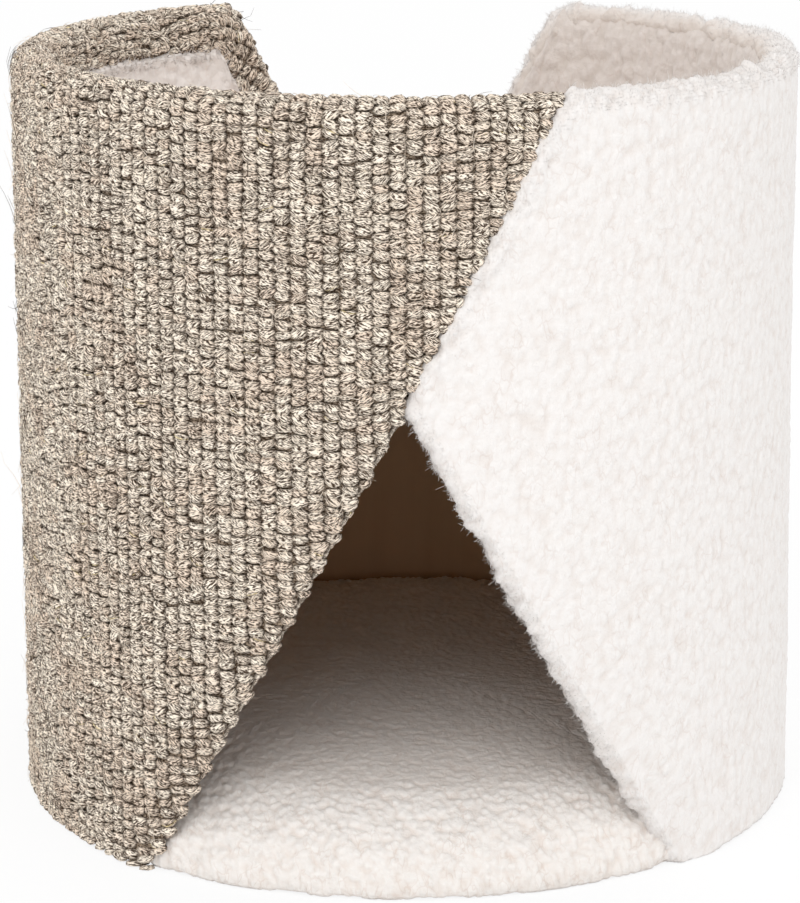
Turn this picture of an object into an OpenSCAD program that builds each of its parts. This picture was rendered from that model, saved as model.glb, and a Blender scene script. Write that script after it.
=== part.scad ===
// Cat condo: a round drum with a padded den below and an open lying tub on top.
// A rolled board wall stands round a base board and carries a platform board.
// Sisal carpet covers one side of the drum, curly plush the other, and both turn in over the cut edges.
// Frame: origin on the floor at the drum's axis, +Z up, entrance towards -Y, plush side towards +X.

/* [Drum] */
// Outside diameter over the covers
drum_d = 380; // [350:1:420]
// Height from the floor to the top of the rim
drum_h = 368; // [350:1:420]
// Thickness of the rolled wall board
wall_t = 5; // [4:0.5:7]

/* [Covers] */
// Thickness of the sisal, the plush and the tub lining
cover_t = 8; // [6:0.5:9]
// Width of cover that is turned in over the rim and the cut edges
turn_in = 25; // [20:1:28]
// Rounding of the covered rim's two edges
rim_roll = 7; // [4:0.5:8]
// Height of the covers' lower edge above the floor
cover_lift = 2; // [1.5:0.5:4]

/* [Entrance] */
// Width of the entrance at the floor
entrance_w = 245; // [220:1:255]
// Height of the entrance's peak above the floor
entrance_h = 230; // [210:1:240]
// Lean from upright of the entrance's sisal edge and of the front seam above it, in degrees
seam_lean = 27.2; // [24:0.1:30]

/* [Rear notch] */
// Width of the notch at the rim
notch_w = 166; // [140:1:190]
// Lean from upright of the notch's sides and of the rear seam below it, in degrees
notch_lean = 25.5; // [20:0.5:28]
// Height of the notch's floor above the tub's floor
notch_lip = 15; // [12:1:22]
// Radius of the notch's lower corners
notch_r = 12; // [6:1:16]

/* [Boards] */
// Thickness of the base board
base_t = 15; // [12:1:18]
// Thickness of the platform board
platform_t = 12; // [10:1:18]
// Height of the platform above the peak of the wall's cut-out
platform_rise = 3; // [1:0.5:8]
// Thickness of the felt under the base
felt_t = 1.5; // [1:0.5:3]
// Width of bare board left round the felt
felt_margin = 10; // [6:1:30]

/* [Den pad] */
// Thickness of the den's foam at its crown
den_foam_t = 27; // [18:1:36]
// Thickness of the den's foam at the wall
den_foam_wall = 19; // [12:1:26]
// Thickness of the den's foam at the entrance
den_foam_front = 1.5; // [1:0.5:4]
// Thickness of the plush on both pads
pad_plush_t = 7; // [5:0.5:9]
// Rounding of the plush at the base's front edge
lip_roll = 5; // [3:0.5:6]

/* [Tub pad] */
// Thickness of the tub's foam at its crown
tub_foam_t = 14; // [10:1:20]
// Thickness of the tub's foam at the wall
tub_foam_wall = 8; // [4:1:9]

/* [Screws] */
// Diameter of a screw's shank
screw_d = 3.5; // [3:0.5:4.5]
// Diameter of a screw's countersunk head
screw_head_d = 7; // [6:0.5:9]
// Length of a screw
screw_l = 30; // [20:1:40]
// Number of screws into the platform's edge
platform_screws_n = 8; // [4:1:12]
// Number of screws into the base's edge, spread over the closed part of the wall
base_screws_n = 7; // [4:1:10]

/* [Hidden] */
$fn = 96;

// Clearances and the overrun of every cut
glue_gap = 0.2;
seam_gap = 0.4;
fit_gap = 0.3;
screw_gap = 0.05;
overrun = 5;

// Radii of the layers of the wall, from the outside in
drum_r = drum_d/2;
wall_ro = drum_r - cover_t - glue_gap;
wall_ri = wall_ro - wall_t;
lining_ro = wall_ri - glue_gap;
lining_ri = lining_ro - cover_t;
board_r = wall_ri - fit_gap;
den_pad_r = board_r;
tub_pad_r = lining_ri - fit_gap;
reach = drum_r + overrun;

// Entrance: its sisal edge and the seam above share one straight line
seam_slope = tan(seam_lean);
peak_x = entrance_h*seam_slope - entrance_w/2;
plush_lean = atan((entrance_w/2 - peak_x)/entrance_h);
entrance_half_a = asin(entrance_w/drum_d);
function sisal_edge(z, grow) = z*seam_slope - entrance_w/2 - grow/cos(seam_lean);
function plush_edge(z, grow) = entrance_w/2 - z*tan(plush_lean) + grow/cos(plush_lean);
function peak_z(grow) =
    (entrance_w + grow/cos(seam_lean) + grow/cos(plush_lean))/(seam_slope + tan(plush_lean));

// Levels, from the floor up
base_top = felt_t + base_t;
lip_top = base_top + den_foam_front + pad_plush_t;
den_floor_z = base_top + den_foam_t + pad_plush_t + fit_gap;
platform_z = peak_z(cover_t + glue_gap) + platform_rise;
platform_top = platform_z + platform_t;
tub_floor_z = platform_top + tub_foam_t + pad_plush_t + fit_gap;
notch_z = tub_floor_z + notch_lip;
wall_top = drum_h - cover_t - glue_gap;
cut_top = drum_h + overrun;
lining_top = drum_h - turn_in - seam_gap;

// Rear notch: its sisal side and the seam below share one straight line
function notch_half(z, grow) = notch_w/2 - (drum_h - z)*tan(notch_lean) + grow/cos(notch_lean);

// Pads: shape of the crown and fineness of the layers
den_crown_share = 0.42;
den_front_power = 2;
den_wall_power = 7;
front_blend_a = 30;
tub_wall_power = 8;
pad_rings = 9;
pad_sectors = 48;
tub_steps = 14;
bridge = 3;

// Screws: where the base's row starts, measured from the entrance's feet
base_screw_margin_a = 16;
screw_tip = 6;

// Share of the entrance's fall in the den pad's edge, at an angle from the front
function front_share(a) =
    let (t = min(1, max(0, (min(a, 360 - a) - entrance_half_a)/front_blend_a)))
    1 - t*t*(3 - 2*t);

// Height of the den's foam at a share of the pad's radius and an angle from the front
function den_foam_h(s, a) =
    let (
        f = front_share(a),
        edge = f*den_foam_front + (1 - f)*den_foam_wall,
        power = f*den_front_power + (1 - f)*den_wall_power,
        t = max(0, s - den_crown_share)/(1 - den_crown_share)
    )
    den_foam_t - (den_foam_t - edge)*pow(t, power);

// Height of the tub's foam at a share of the pad's radius
function tub_foam_h(s) = tub_foam_t - (tub_foam_t - tub_foam_wall)*pow(s, tub_wall_power);

// Upright tube between two radii and two levels
module tube(r_in, r_out, z_low, z_high) {
    translate([0, 0, z_low])
        difference() {
            cylinder(r = r_out, h = z_high - z_low);
            translate([0, 0, -overrun])
                cylinder(r = r_in, h = z_high - z_low + 2*overrun);
        }
}

// Carries an outline in X and Z from the axis out through the front wall
module through_front() {
    rotate([90, 0, 0])
        linear_extrude(height = reach)
            children();
}

// Carries an outline in X and Z from the axis out through the rear wall
module through_rear() {
    translate([0, reach, 0])
        rotate([90, 0, 0])
            linear_extrude(height = reach)
                children();
}

// Entrance outline, grown by a margin all round
module entrance_outline(grow) {
    polygon([
        [sisal_edge(-overrun, grow), -overrun],
        [plush_edge(-overrun, grow), -overrun],
        [sisal_edge(peak_z(grow), grow), peak_z(grow)]
    ]);
}

// Notch outline with round lower corners, grown by a margin all round
module notch_outline(grow) {
    low = notch_z - grow;
    round_r = notch_r + grow;
    round_x = notch_half(low, grow) - round_r*(1 - sin(notch_lean))/cos(notch_lean);
    round_z = low + round_r;
    side_x = round_x + round_r*cos(notch_lean);
    side_z = round_z - round_r*sin(notch_lean);
    top_x = notch_half(cut_top, grow);
    polygon([
        [-round_x, low], [round_x, low], [side_x, side_z],
        [top_x, cut_top], [-top_x, cut_top], [-side_x, side_z]
    ]);
    for (side = [-1, 1])
        translate([side*round_x, round_z])
            circle(r = round_r);
}

// Half of the space round the drum: sisal where side is -1, plush where it is 1
module cover_side(side) {
    gap = side*seam_gap/2;
    front_low = sisal_edge(-overrun, 0) + gap;
    front_high = sisal_edge(cut_top, 0) + gap;
    rear_low = -notch_half(-overrun, 0) + gap;
    rear_high = -notch_half(cut_top, 0) + gap;
    far = side*reach;
    through_front()
        polygon([[far, -overrun], [front_low, -overrun], [front_high, cut_top], [far, cut_top]]);
    through_rear()
        polygon([[far, -overrun], [rear_low, -overrun], [rear_high, cut_top], [far, cut_top]]);
}

// Full section of the covered wall, with a rolled rim
module wall_section() {
    translate([lining_ri, cover_lift])
        square([drum_r - lining_ri, drum_h - rim_roll - cover_lift]);
    translate([lining_ri + rim_roll, cover_lift])
        square([drum_r - lining_ri - 2*rim_roll, drum_h - cover_lift]);
    for (x = [lining_ri + rim_roll, drum_r - rim_roll])
        translate([x, drum_h - rim_roll])
            circle(r = rim_roll);
}

// Section of the covers alone: up the outside, over the rim and down the inside
module jacket_section() {
    difference() {
        wall_section();
        translate([lining_ro, -overrun])
            square([drum_r - cover_t - lining_ro, drum_h - cover_t + overrun]);
        translate([0, -overrun])
            square([lining_ro + glue_gap, drum_h - turn_in + overrun]);
    }
}

// Covers over the entrance's cut edges, turned in above the den pad and below the platform
module entrance_wrap() {
    strip_foot = den_floor_z + fit_gap;
    strip_top = platform_z - fit_gap;
    intersection() {
        union() {
            tube(wall_ri, drum_r, cover_lift, strip_top);
            tube(lining_ri, drum_r, strip_foot, strip_top);
        }
        through_front()
            entrance_outline(cover_t);
    }
    intersection() {
        tube(lining_ri, lining_ro, strip_foot, strip_top);
        through_front()
            entrance_outline(turn_in);
    }
}

// Covers over the notch's cut edges, turned in on the inside
module notch_wrap() {
    intersection() {
        rotate_extrude()
            wall_section();
        through_rear()
            notch_outline(cover_t);
    }
    intersection() {
        rotate_extrude()
            wall_section();
        tube(lining_ri - overrun, lining_ro, platform_top, cut_top);
        through_rear()
            notch_outline(turn_in);
    }
}

// Both covers in one, before they are parted along the seams
module cover_stock() {
    difference() {
        union() {
            rotate_extrude()
                jacket_section();
            entrance_wrap();
            notch_wrap();
        }
        through_front()
            entrance_outline(0);
        through_rear()
            notch_outline(0);
    }
}

// Layer of a round pad between two height rules, each of a share of the radius and an angle from the front
module pad_layer(pad_r, low, high) {
    n = pad_rings;
    m = pad_sectors;
    step_a = 360/m;
    spots = [for (i = [1:n], j = [0:m - 1]) [i/n, j*step_a]];
    function spot(s, a, z) = [pad_r*s*sin(a), -pad_r*s*cos(a), z];
    under = 1 + n*m;
    function top_at(i, j) = 1 + (i - 1)*m + j % m;
    function low_at(i, j) = under + top_at(i, j);
    polyhedron(
        points = concat(
            [spot(0, 0, high(0, 0))], [for (p = spots) spot(p[0], p[1], high(p[0], p[1]))],
            [spot(0, 0, low(0, 0))], [for (p = spots) spot(p[0], p[1], low(p[0], p[1]))]
        ),
        faces = concat(
            [for (j = [0:m - 1]) [0, top_at(1, j + 1), top_at(1, j)]],
            [for (j = [0:m - 1]) [under, low_at(1, j), low_at(1, j + 1)]],
            [for (i = [1:n - 1], j = [0:m - 1]) each [
                [top_at(i, j), top_at(i, j + 1), top_at(i + 1, j + 1)],
                [top_at(i, j), top_at(i + 1, j + 1), top_at(i + 1, j)],
                [low_at(i, j), low_at(i + 1, j + 1), low_at(i, j + 1)],
                [low_at(i, j), low_at(i + 1, j), low_at(i + 1, j + 1)]
            ]],
            [for (j = [0:m - 1]) each [
                [top_at(n, j), top_at(n, j + 1), low_at(n, j + 1)],
                [top_at(n, j), low_at(n, j + 1), low_at(n, j)]
            ]]
        )
    );
}

// Countersunk wood screw on the Z axis, head up, grown by a clearance
module screw_shape(grow) {
    head_r = screw_head_d/2 + grow;
    shank_r = screw_d/2 + grow;
    rotate_extrude()
        polygon([
            [0, 0], [head_r, 0], [shank_r, shank_r - head_r],
            [shank_r, screw_tip - screw_l], [0, -screw_l - grow]
        ]);
}

// Space that a screw takes in the boards, open above its head
module screw_hole() {
    screw_shape(screw_gap);
    cylinder(r = screw_head_d/2 + screw_gap, h = overrun);
}

// Puts a shape in the wall, head outward, at an angle from the front and a level
module at_wall(a, z) {
    rotate([0, 0, a])
        translate([0, -wall_ro, z])
            rotate([90, 0, 0])
                children();
}

// Row of shapes round the platform's edge
module platform_row() {
    for (i = [0:platform_screws_n - 1])
        at_wall((i + 1/2)*360/platform_screws_n, platform_z + platform_t/2)
            children();
}

// Row of shapes round the base's edge, clear of the entrance
module base_row() {
    first_a = entrance_half_a + base_screw_margin_a;
    for (i = [0:base_screws_n - 1])
        at_wall(first_a + i*(360 - 2*first_a)/(base_screws_n - 1), felt_t + base_t/2)
            children();
}

module wall_board() {
    color("#7d6148")
        difference() {
            tube(wall_ri, wall_ro, felt_t, wall_top);
            through_front()
                entrance_outline(cover_t + glue_gap);
            through_rear()
                notch_outline(cover_t + glue_gap);
            platform_row()
                screw_hole();
            base_row()
                screw_hole();
        }
}

module base_board() {
    color("#b08d63")
        translate([0, 0, felt_t])
            difference() {
                union() {
                    cylinder(r = board_r, h = base_t);
                    intersection() {
                        cylinder(r = wall_ro, h = base_t);
                        translate([0, 0, -felt_t])
                            through_front()
                                entrance_outline(-seam_gap);
                    }
                }
                translate([0, 0, -felt_t])
                    base_row()
                        screw_hole();
            }
}

module platform_board() {
    color("#b08d63")
        difference() {
            translate([0, 0, platform_z])
                cylinder(r = board_r, h = platform_t);
            platform_row()
                screw_hole();
        }
}

module underside_felt() {
    color("#4a4a4c")
        cylinder(r = board_r - felt_margin, h = felt_t);
}

module sisal_cover() {
    color("#a99b88")
        intersection() {
            cover_stock();
            cover_side(-1);
        }
}

module plush_cover() {
    color("#f3efea")
        intersection() {
            cover_stock();
            cover_side(1);
        }
}

module tub_lining() {
    color("#f1ebe4")
        difference() {
            tube(lining_ri, lining_ro, platform_top, lining_top);
            through_rear()
                notch_outline(turn_in + seam_gap);
        }
}

module den_foam() {
    color("#efe3b8")
        pad_layer(
            den_pad_r,
            function (s, a) base_top,
            function (s, a) base_top + den_foam_h(s, a)
        );
}

module den_plush() {
    over_foam = base_top + fit_gap;
    color("#f1ece6") {
        pad_layer(
            den_pad_r,
            function (s, a) over_foam + den_foam_h(s, a),
            function (s, a) over_foam + den_foam_h(s, a) + pad_plush_t
        );
        intersection() {
            rotate_extrude()
                lip_section();
            through_front()
                entrance_outline(-seam_gap);
        }
    }
}

// Section of the plush that is drawn over the base's front edge
module lip_section() {
    outer_ri = wall_ro + glue_gap;
    over_board = base_top + fit_gap;
    translate([den_pad_r - bridge, lip_top - pad_plush_t/2])
        square([drum_r - lip_roll - den_pad_r + bridge, pad_plush_t/2]);
    translate([den_pad_r + fit_gap, over_board])
        square([drum_r - lip_roll - den_pad_r - fit_gap, lip_top - over_board]);
    translate([outer_ri, cover_lift])
        square([drum_r - outer_ri, lip_top - lip_roll - cover_lift]);
    translate([drum_r - lip_roll, lip_top - lip_roll])
        circle(r = lip_roll);
}

module tub_foam() {
    color("#efe3b8")
        rotate_extrude()
            polygon(concat(
                [[0, platform_top]],
                [for (i = [0:tub_steps]) [tub_pad_r*i/tub_steps, platform_top + tub_foam_h(i/tub_steps)]],
                [[tub_pad_r, platform_top]]
            ));
}

module tub_plush() {
    over_foam = platform_top + fit_gap;
    under = [for (i = [0:tub_steps]) [tub_pad_r*i/tub_steps, over_foam + tub_foam_h(i/tub_steps)]];
    color("#f1ece6")
        rotate_extrude()
            polygon(concat(
                under,
                [for (i = [tub_steps:-1:0]) under[i] + [0, pad_plush_t]]
            ));
}

module platform_screws() {
    color("#b9bcc0")
        platform_row()
            screw_shape(0);
}

module base_screws() {
    color("#b9bcc0")
        base_row()
            screw_shape(0);
}

wall_board();
base_board();
platform_board();
underside_felt();
sisal_cover();
plush_cover();
tub_lining();
den_foam();
den_plush();
tub_foam();
tub_plush();
platform_screws();
base_screws();
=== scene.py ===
"""Cat condo: a round drum in looped sisal and curly plush, with a padded den below and a lying tub on top."""
import logging
import math
from dataclasses import astuple, dataclass, field
from enum import Enum

import bpy
import numpy as np
from numpy.typing import NDArray
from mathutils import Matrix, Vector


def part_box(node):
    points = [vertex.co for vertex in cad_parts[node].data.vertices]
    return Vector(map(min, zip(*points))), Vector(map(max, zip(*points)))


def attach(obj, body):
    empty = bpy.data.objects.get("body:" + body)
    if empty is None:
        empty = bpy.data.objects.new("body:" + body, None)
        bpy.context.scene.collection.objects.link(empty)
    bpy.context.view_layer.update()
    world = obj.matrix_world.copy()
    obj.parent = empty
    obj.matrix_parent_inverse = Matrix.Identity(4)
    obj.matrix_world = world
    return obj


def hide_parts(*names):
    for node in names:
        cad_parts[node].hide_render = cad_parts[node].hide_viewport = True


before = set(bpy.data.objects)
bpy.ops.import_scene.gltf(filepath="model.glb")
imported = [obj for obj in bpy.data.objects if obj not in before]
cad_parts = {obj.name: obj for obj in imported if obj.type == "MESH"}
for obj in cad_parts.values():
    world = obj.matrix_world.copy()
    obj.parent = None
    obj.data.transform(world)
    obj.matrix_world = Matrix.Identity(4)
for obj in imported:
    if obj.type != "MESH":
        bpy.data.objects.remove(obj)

Array = NDArray[np.float64]
Ints = NDArray[np.int64]
Flags = NDArray[np.bool_]
Numbers = Array | float
Pair = tuple[float, float]
Colour = tuple[float, float, float]
Socket = bpy.types.NodeSocket
Material = bpy.types.Material
Piece = bpy.types.Object

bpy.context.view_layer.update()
UP = np.array([0.0, 0.0, 1.0])
WHITE = (1.0, 1.0, 1.0)
FLOOR_GAP = 0.0003
SMALL, TINY = 1e-9, 1e-12
log = logging.getLogger("cat_condo")


class Cover(Enum):
    """The two covers of the drum; the value is the side of the seams that each one lies on."""

    SISAL = -1
    PLUSH = 1


class Pile(Enum):
    """How the curls of a plush lie; the value is how much longer they are along Z."""

    HANGING = 1.5
    STANDING = 1.0


def soft_step(t: Array) -> Array:
    """Soft step: 0 below 0, 1 above 1, and 3t^2 - 2t^3 between."""
    t = np.clip(t, 0.0, 1.0)
    return t * t * (3.0 - 2.0 * t)


def round_edge(t: Array) -> Array:
    """Quarter-circle rise: 0 below 0, 1 above 1, and upright where it starts."""
    t = np.clip(t, 0.0, 1.0)
    return np.sqrt(t * (2.0 - t))


def unit(vectors: Array) -> Array:
    """Vectors scaled to length 1."""
    return vectors / np.maximum(np.linalg.norm(vectors, axis=-1, keepdims=True), TINY)


def on_ring(angle: Array, radius: Numbers = 1.0, z: Numbers = 0.0) -> Array:
    """Points at an angle from the front, a radius from the drum's axis and a height."""
    return np.stack(np.broadcast_arrays(radius * np.sin(angle), -radius * np.cos(angle), z), -1)


def slope(gap: Array, lean: float, across: Numbers, up: float) -> tuple[Array, Numbers, float]:
    """Distance from a leaning line for a gap across it, and the X and Z parts of the direction away from it."""
    return gap * math.cos(lean), across * math.cos(lean), up * math.sin(lean)


def linear(red: int, green: int, blue: int) -> Colour:
    """Linear colour of a display colour of 0 to 255, by the display's power law."""
    return tuple(float(((c / 255 + 0.055) / 1.055) ** 2.4) for c in (red, green, blue))


class Noise:
    """Seeded noise on a lattice of cells, worked out on whole arrays of points."""

    PRIMES = (0x9E3779B1, 0x85EBCA77, 0xC2B2AE3D)
    SEED_PRIME = 0x27D4EB2F
    ROUNDS = ((15, 0x2C1B3C6D), (12, 0x297A2D39))
    LAST_SHIFT = 15
    WORD = 2**32
    BEND, BEND_SIZE, BEND_SEED = 0.75, 1.3, 11
    DOME, CREASE_WIDTH = 1.15, 0.5
    LOCK_SIZE, LOCK_SEED = 0.42, 29
    TUFT_SHARE, CREASE_SHARE, LOCK_SHARE = 0.60, 0.10, 0.30

    @classmethod
    def lattice(cls, cells: Ints, seed: int) -> Array:
        """Scrambles the three indices of each cell into a fixed random number.

        Args:
            cells: whole-number cells, three indices each.
            seed: picks one of many sets of numbers.

        Returns:
            One number from 0 to 1 for each cell.
        """
        index = cells.astype(np.uint32)
        mixed = np.uint32(seed * cls.SEED_PRIME % cls.WORD)
        for axis, prime in enumerate(cls.PRIMES):
            mixed = mixed ^ index[..., axis] * np.uint32(prime)
        for shift, factor in cls.ROUNDS:
            mixed = (mixed ^ mixed >> np.uint32(shift)) * np.uint32(factor)
        return (mixed ^ mixed >> np.uint32(cls.LAST_SHIFT)) / float(cls.WORD)

    @classmethod
    def smooth(cls, points: Array, size: float, seed: int) -> Array:
        """Value noise: the random numbers at the corners of a point's cell, blended by a soft step.

        Args:
            points: points in metres.
            size: width of a cell in metres.
            seed: picks the set of random numbers.

        Returns:
            One number from 0 to 1 for each point.
        """
        cell = np.floor(points / size).astype(np.int64)
        part = soft_step(points / size - cell)
        total = np.zeros(points.shape[:-1])
        for corner in np.ndindex(2, 2, 2):
            share = np.where(np.array(corner) == 1, part, 1.0 - part).prod(axis=-1)
            total += share * cls.lattice(cell + np.array(corner), seed)
        return total

    @classmethod
    def grains(cls, points: Array, size: float, seed: int) -> tuple[Array, Array]:
        """Cell noise: each cell holds one grain at a random spot.

        Args:
            points: points in metres.
            size: width of a cell in metres.
            seed: picks the set of random spots.

        Returns:
            Distances, in cell widths, to the nearest and to the second nearest grain.
        """
        scaled = points / size
        cell = np.floor(scaled).astype(np.int64)
        first = np.full(points.shape[:-1], np.inf)
        second = first.copy()
        for step in np.ndindex(3, 3, 3):
            near = cell + np.array(step) - 1
            spot = near + np.stack([cls.lattice(near, seed + k) for k in range(3)], axis=-1)
            gap = ((scaled - spot) ** 2).sum(axis=-1)
            second = np.minimum(second, np.maximum(first, gap))
            first = np.minimum(first, gap)
        return np.sqrt(first), np.sqrt(second)

    @classmethod
    def curls(cls, points: Array, pile: Pile, size: float, seed: int) -> Array:
        """Height of a curly pile: round tufts parted by creases, with finer locks on them.

        A tuft is a dome of one less the square of the distance to its grain, on points that a slower noise
        shifts so that the tufts aren't round; the crease is the gap between the two nearest grains.

        Args:
            points: points on the cloth, in metres.
            pile: how the curls lie.
            size: width of a tuft in metres.
            seed: picks the set of random numbers.

        Returns:
            One number from 0, in a crease, to 1, on a tuft, for each point.
        """
        seeds = (seed + cls.BEND_SEED + k for k in range(3))
        shift = np.stack([cls.smooth(points, cls.BEND_SIZE * size, s) for s in seeds], axis=-1) - 0.5
        lain = (points + cls.BEND * size * shift) / np.array([1.0, 1.0, pile.value])
        near, far = cls.grains(lain, size, seed)
        tuft = np.clip(1.0 - cls.DOME * near**2, 0.0, 1.0)
        crease = soft_step((far - near) / cls.CREASE_WIDTH)
        lock = cls.smooth(points, cls.LOCK_SIZE * size, seed + cls.LOCK_SEED)
        return cls.TUFT_SHARE * tuft + cls.CREASE_SHARE * crease + cls.LOCK_SHARE * lock


def grid_faces(rows: int, columns: int, ring: bool = False) -> Ints:
    """Quads of a grid of points numbered row by row.

    Args:
        rows: points along the first parameter.
        columns: points along the second parameter.
        ring: True where the last column joins the first.

    Returns:
        Four point numbers for each quad, turning from the row's step to the column's step.
    """
    i, j = np.meshgrid(np.arange(rows - 1), np.arange(columns if ring else columns - 1), indexing="ij")
    here, following = i * columns, (i + 1) * columns
    k = (j + 1) % columns
    return np.stack([here + j, here + k, following + k, following + j], -1).reshape(-1, 4)


def tiled(parts: tuple[Ints, ...], count: int, each: int) -> list[Ints]:
    """Faces of one shape, repeated for a number of shapes that have so many points each."""
    start = (np.arange(count) * each)[:, None, None]
    return [(f[None] + start).reshape(-1, f.shape[1]) for f in parts]


def make_piece(name: str, points: Array, faces: list[Ints], slot: str, look: Material, **values: Array) -> Piece:
    """Puts arrays of points and faces into a smooth mesh object that rides on the part.

    Args:
        name: the piece's name.
        points: its points in metres.
        faces: arrays of faces, one array for each number of corners.
        slot: the record's material slot; not used.
        look: its material.
        values: a number or a triple for each point, kept as mesh attributes that the material reads.

    Returns:
        The new object.
    """
    used, corners = np.unique(np.concatenate([f.ravel() for f in faces]), return_inverse=True)
    counts = np.concatenate([np.full(len(f), f.shape[1]) for f in faces])
    mesh = bpy.data.meshes.new(name)
    mesh.vertices.add(len(used))
    mesh.vertices.foreach_set("co", points.reshape(-1, 3)[used].astype(np.float32).ravel())
    mesh.loops.add(len(corners))
    mesh.loops.foreach_set("vertex_index", corners.astype(np.int32).ravel())
    mesh.polygons.add(len(counts))
    mesh.polygons.foreach_set("loop_start", (np.cumsum(counts) - counts).astype(np.int32))
    mesh.update(calc_edges=True)
    mesh.shade_smooth()
    mesh.materials.append(look)
    for key, numbers in values.items():
        kept = numbers[used].astype(np.float32)
        kind, part = ("FLOAT", "value") if kept.ndim == 1 else ("FLOAT_VECTOR", "vector")
        mesh.attributes.new(key, kind, "POINT").data.foreach_set(part, kept.ravel())
    piece = bpy.data.objects.new(name, mesh)
    bpy.context.scene.collection.objects.link(piece)
    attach(piece, "root")
    log.info("%s: %d faces", name, len(counts))
    return piece


def flat_cut(faces: Ints, across: Array, along: Array) -> tuple[Pair, float]:
    """Size of the flat pattern that faces cover, and its area as their number times the area of the grid's cells.

    Args:
        faces: the faces of the grid that are kept.
        across: places of the grid's points across the flat pattern.
        along: places along it.

    Returns:
        Width and length in metres, and the area in square metres.
    """
    used = np.unique(faces)
    rows, columns = across.shape
    cell = np.ptp(across) / (columns - 1) * np.ptp(along) / (rows - 1)
    width, length = (float(np.ptp(places.ravel()[used])) for places in (across, along))
    return (width, length), float(cell * len(faces))


@dataclass(frozen=True)
class Drum:
    """Sizes of the drum in metres, as in the CAD model, and the lines that part and cut its covers."""

    radius: float
    height: float
    wall_out: float
    wall_thick: float = 0.005
    lift: float = 0.0004
    turn_in: float = 0.025
    entrance_w: float = 0.245
    entrance_h: float = 0.230
    seam_lean: float = math.radians(27.2)
    notch_w: float = 0.166
    notch_lean: float = math.radians(25.5)
    notch_floor: float = 0.29875
    notch_round: float = 0.012
    base_top: float = 0.0165
    platform_low: float = 0.25045
    platform_top: float = 0.26245
    lining_in: float = 0.1686
    lining_top: float = 0.3426
    lining_gap: float = 0.0048
    lining_over: float = 0.0025
    sill_drop: float = 0.004
    sill_rise: float = 0.003
    sill_run: float = 0.03

    @classmethod
    def from_frame(cls) -> "Drum":
        """Takes the main sizes from the boxes of the CAD nodes."""
        cover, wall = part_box("plush_cover")[1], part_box("wall_board")[1]
        return cls(radius=cover[0], height=cover[2], wall_out=wall[0])

    @property
    def wall_in(self) -> float:
        """Radius of the wall board's inside."""
        return self.wall_out - self.wall_thick

    @property
    def mid_wall(self) -> float:
        """Radius of the middle of the wall board."""
        return (self.wall_out + self.wall_in) / 2

    @property
    def roll(self) -> float:
        """Radius of a covered edge, from the middle of the wall to the cover's face."""
        return self.radius - self.mid_wall

    @property
    def lining_grow(self) -> float:
        """Distance of the tub lining's edge from the notch's sisal side."""
        return self.turn_in - self.lining_gap

    @property
    def lining_high(self) -> float:
        """Height of the tub lining's edge on the sisal side."""
        return self.lining_top + self.lining_over

    @property
    def peak_x(self) -> float:
        """Where the entrance's peak lies across the front."""
        return self.entrance_h * math.tan(self.seam_lean) - self.entrance_w / 2

    @property
    def plush_lean(self) -> float:
        """Lean of the entrance's plush edge."""
        return math.atan((self.entrance_w / 2 - self.peak_x) / self.entrance_h)

    def seam_x(self, z: Array, grow: Numbers = 0.0) -> Array:
        """Straight line of the front seam and the sisal edge below it, moved to the sisal side by grow."""
        return z * math.tan(self.seam_lean) - self.entrance_w / 2 - grow / math.cos(self.seam_lean)

    def plush_x(self, z: Array, grow: Numbers = 0.0) -> Array:
        """Straight line of the entrance's plush edge, moved to the plush side by grow."""
        return self.entrance_w / 2 - z * math.tan(self.plush_lean) + grow / math.cos(self.plush_lean)

    def notch_half(self, z: Array, grow: Numbers = 0.0) -> Array:
        """Half of the rear notch's width, moved into the wall by grow."""
        fall = (self.height - z) * math.tan(self.notch_lean)
        return self.notch_w / 2 - fall + grow / math.cos(self.notch_lean)

    def lining_edge(self, x: Array, y: Array, grow: Numbers, high: Numbers) -> Array:
        """Height of the tub lining's upper edge: level all round, and falling along the notch's sides behind.

        Args:
            x: places across.
            y: places in depth.
            grow: distance of the edge from the notch's sides.
            high: height of its level part.

        Returns:
            The heights.
        """
        fall = (self.notch_w / 2 + grow / math.cos(self.notch_lean) - np.abs(x)) / math.tan(self.notch_lean)
        lowest = self.notch_floor - self.sill_drop + self.sill_rise * soft_step(x / self.sill_run)
        behind = np.minimum(high, np.maximum(self.height - fall, lowest))
        return np.where(y > 0, behind, high)

    def past_seam(self, points: Array, cover: Cover) -> Array:
        """Distance of points from the seam's plane, positive on the cover's own side.

        Args:
            points: points in metres.
            cover: the cover whose side counts as positive.

        Returns:
            One distance for each point, to the front or the rear seam.
        """
        x, y, z = np.moveaxis(points, -1, 0)
        front = (x - self.seam_x(z)) * math.cos(self.seam_lean)
        rear = (x + self.notch_half(z)) * math.cos(self.notch_lean)
        return cover.value * np.where(y < 0, front, rear)


@dataclass
class Fold:
    """Where points of a flat cover land on the drum.

    Args:
        base: points on the cover's backing.
        normal: directions out of the backing.
        past: distance past the fold line, 0 on the outside of the drum.
        cut: distance past the line of the entrance or the notch alone.
        left: length that is left to the end of the turned-in strip.
        slack: room to the mitre with the next turned-in strip.
        thin: share of the pile's height, less where it is pressed on the end of the wall.
        aim: X part of the direction into the opening.
        share: part of the way round an edge, 1 on the turned-in strip.
    """

    base: Array
    normal: Array
    past: Array
    cut: Array
    left: Array
    slack: Array
    thin: Array
    aim: Array
    share: Array


@dataclass(frozen=True)
class EdgeFold:
    """How a cover goes over the end of the wall at a cut edge.

    Args:
        room: distance from the edge at which the cover starts to fold.
        face: distance from the edge to the backing on the end of the wall.
        squash: share of the pile's height on the end of the wall.
        way: length of the flat cover that goes round the end of the wall.
    """

    room: float
    face: float
    squash: float
    way: float


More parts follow.
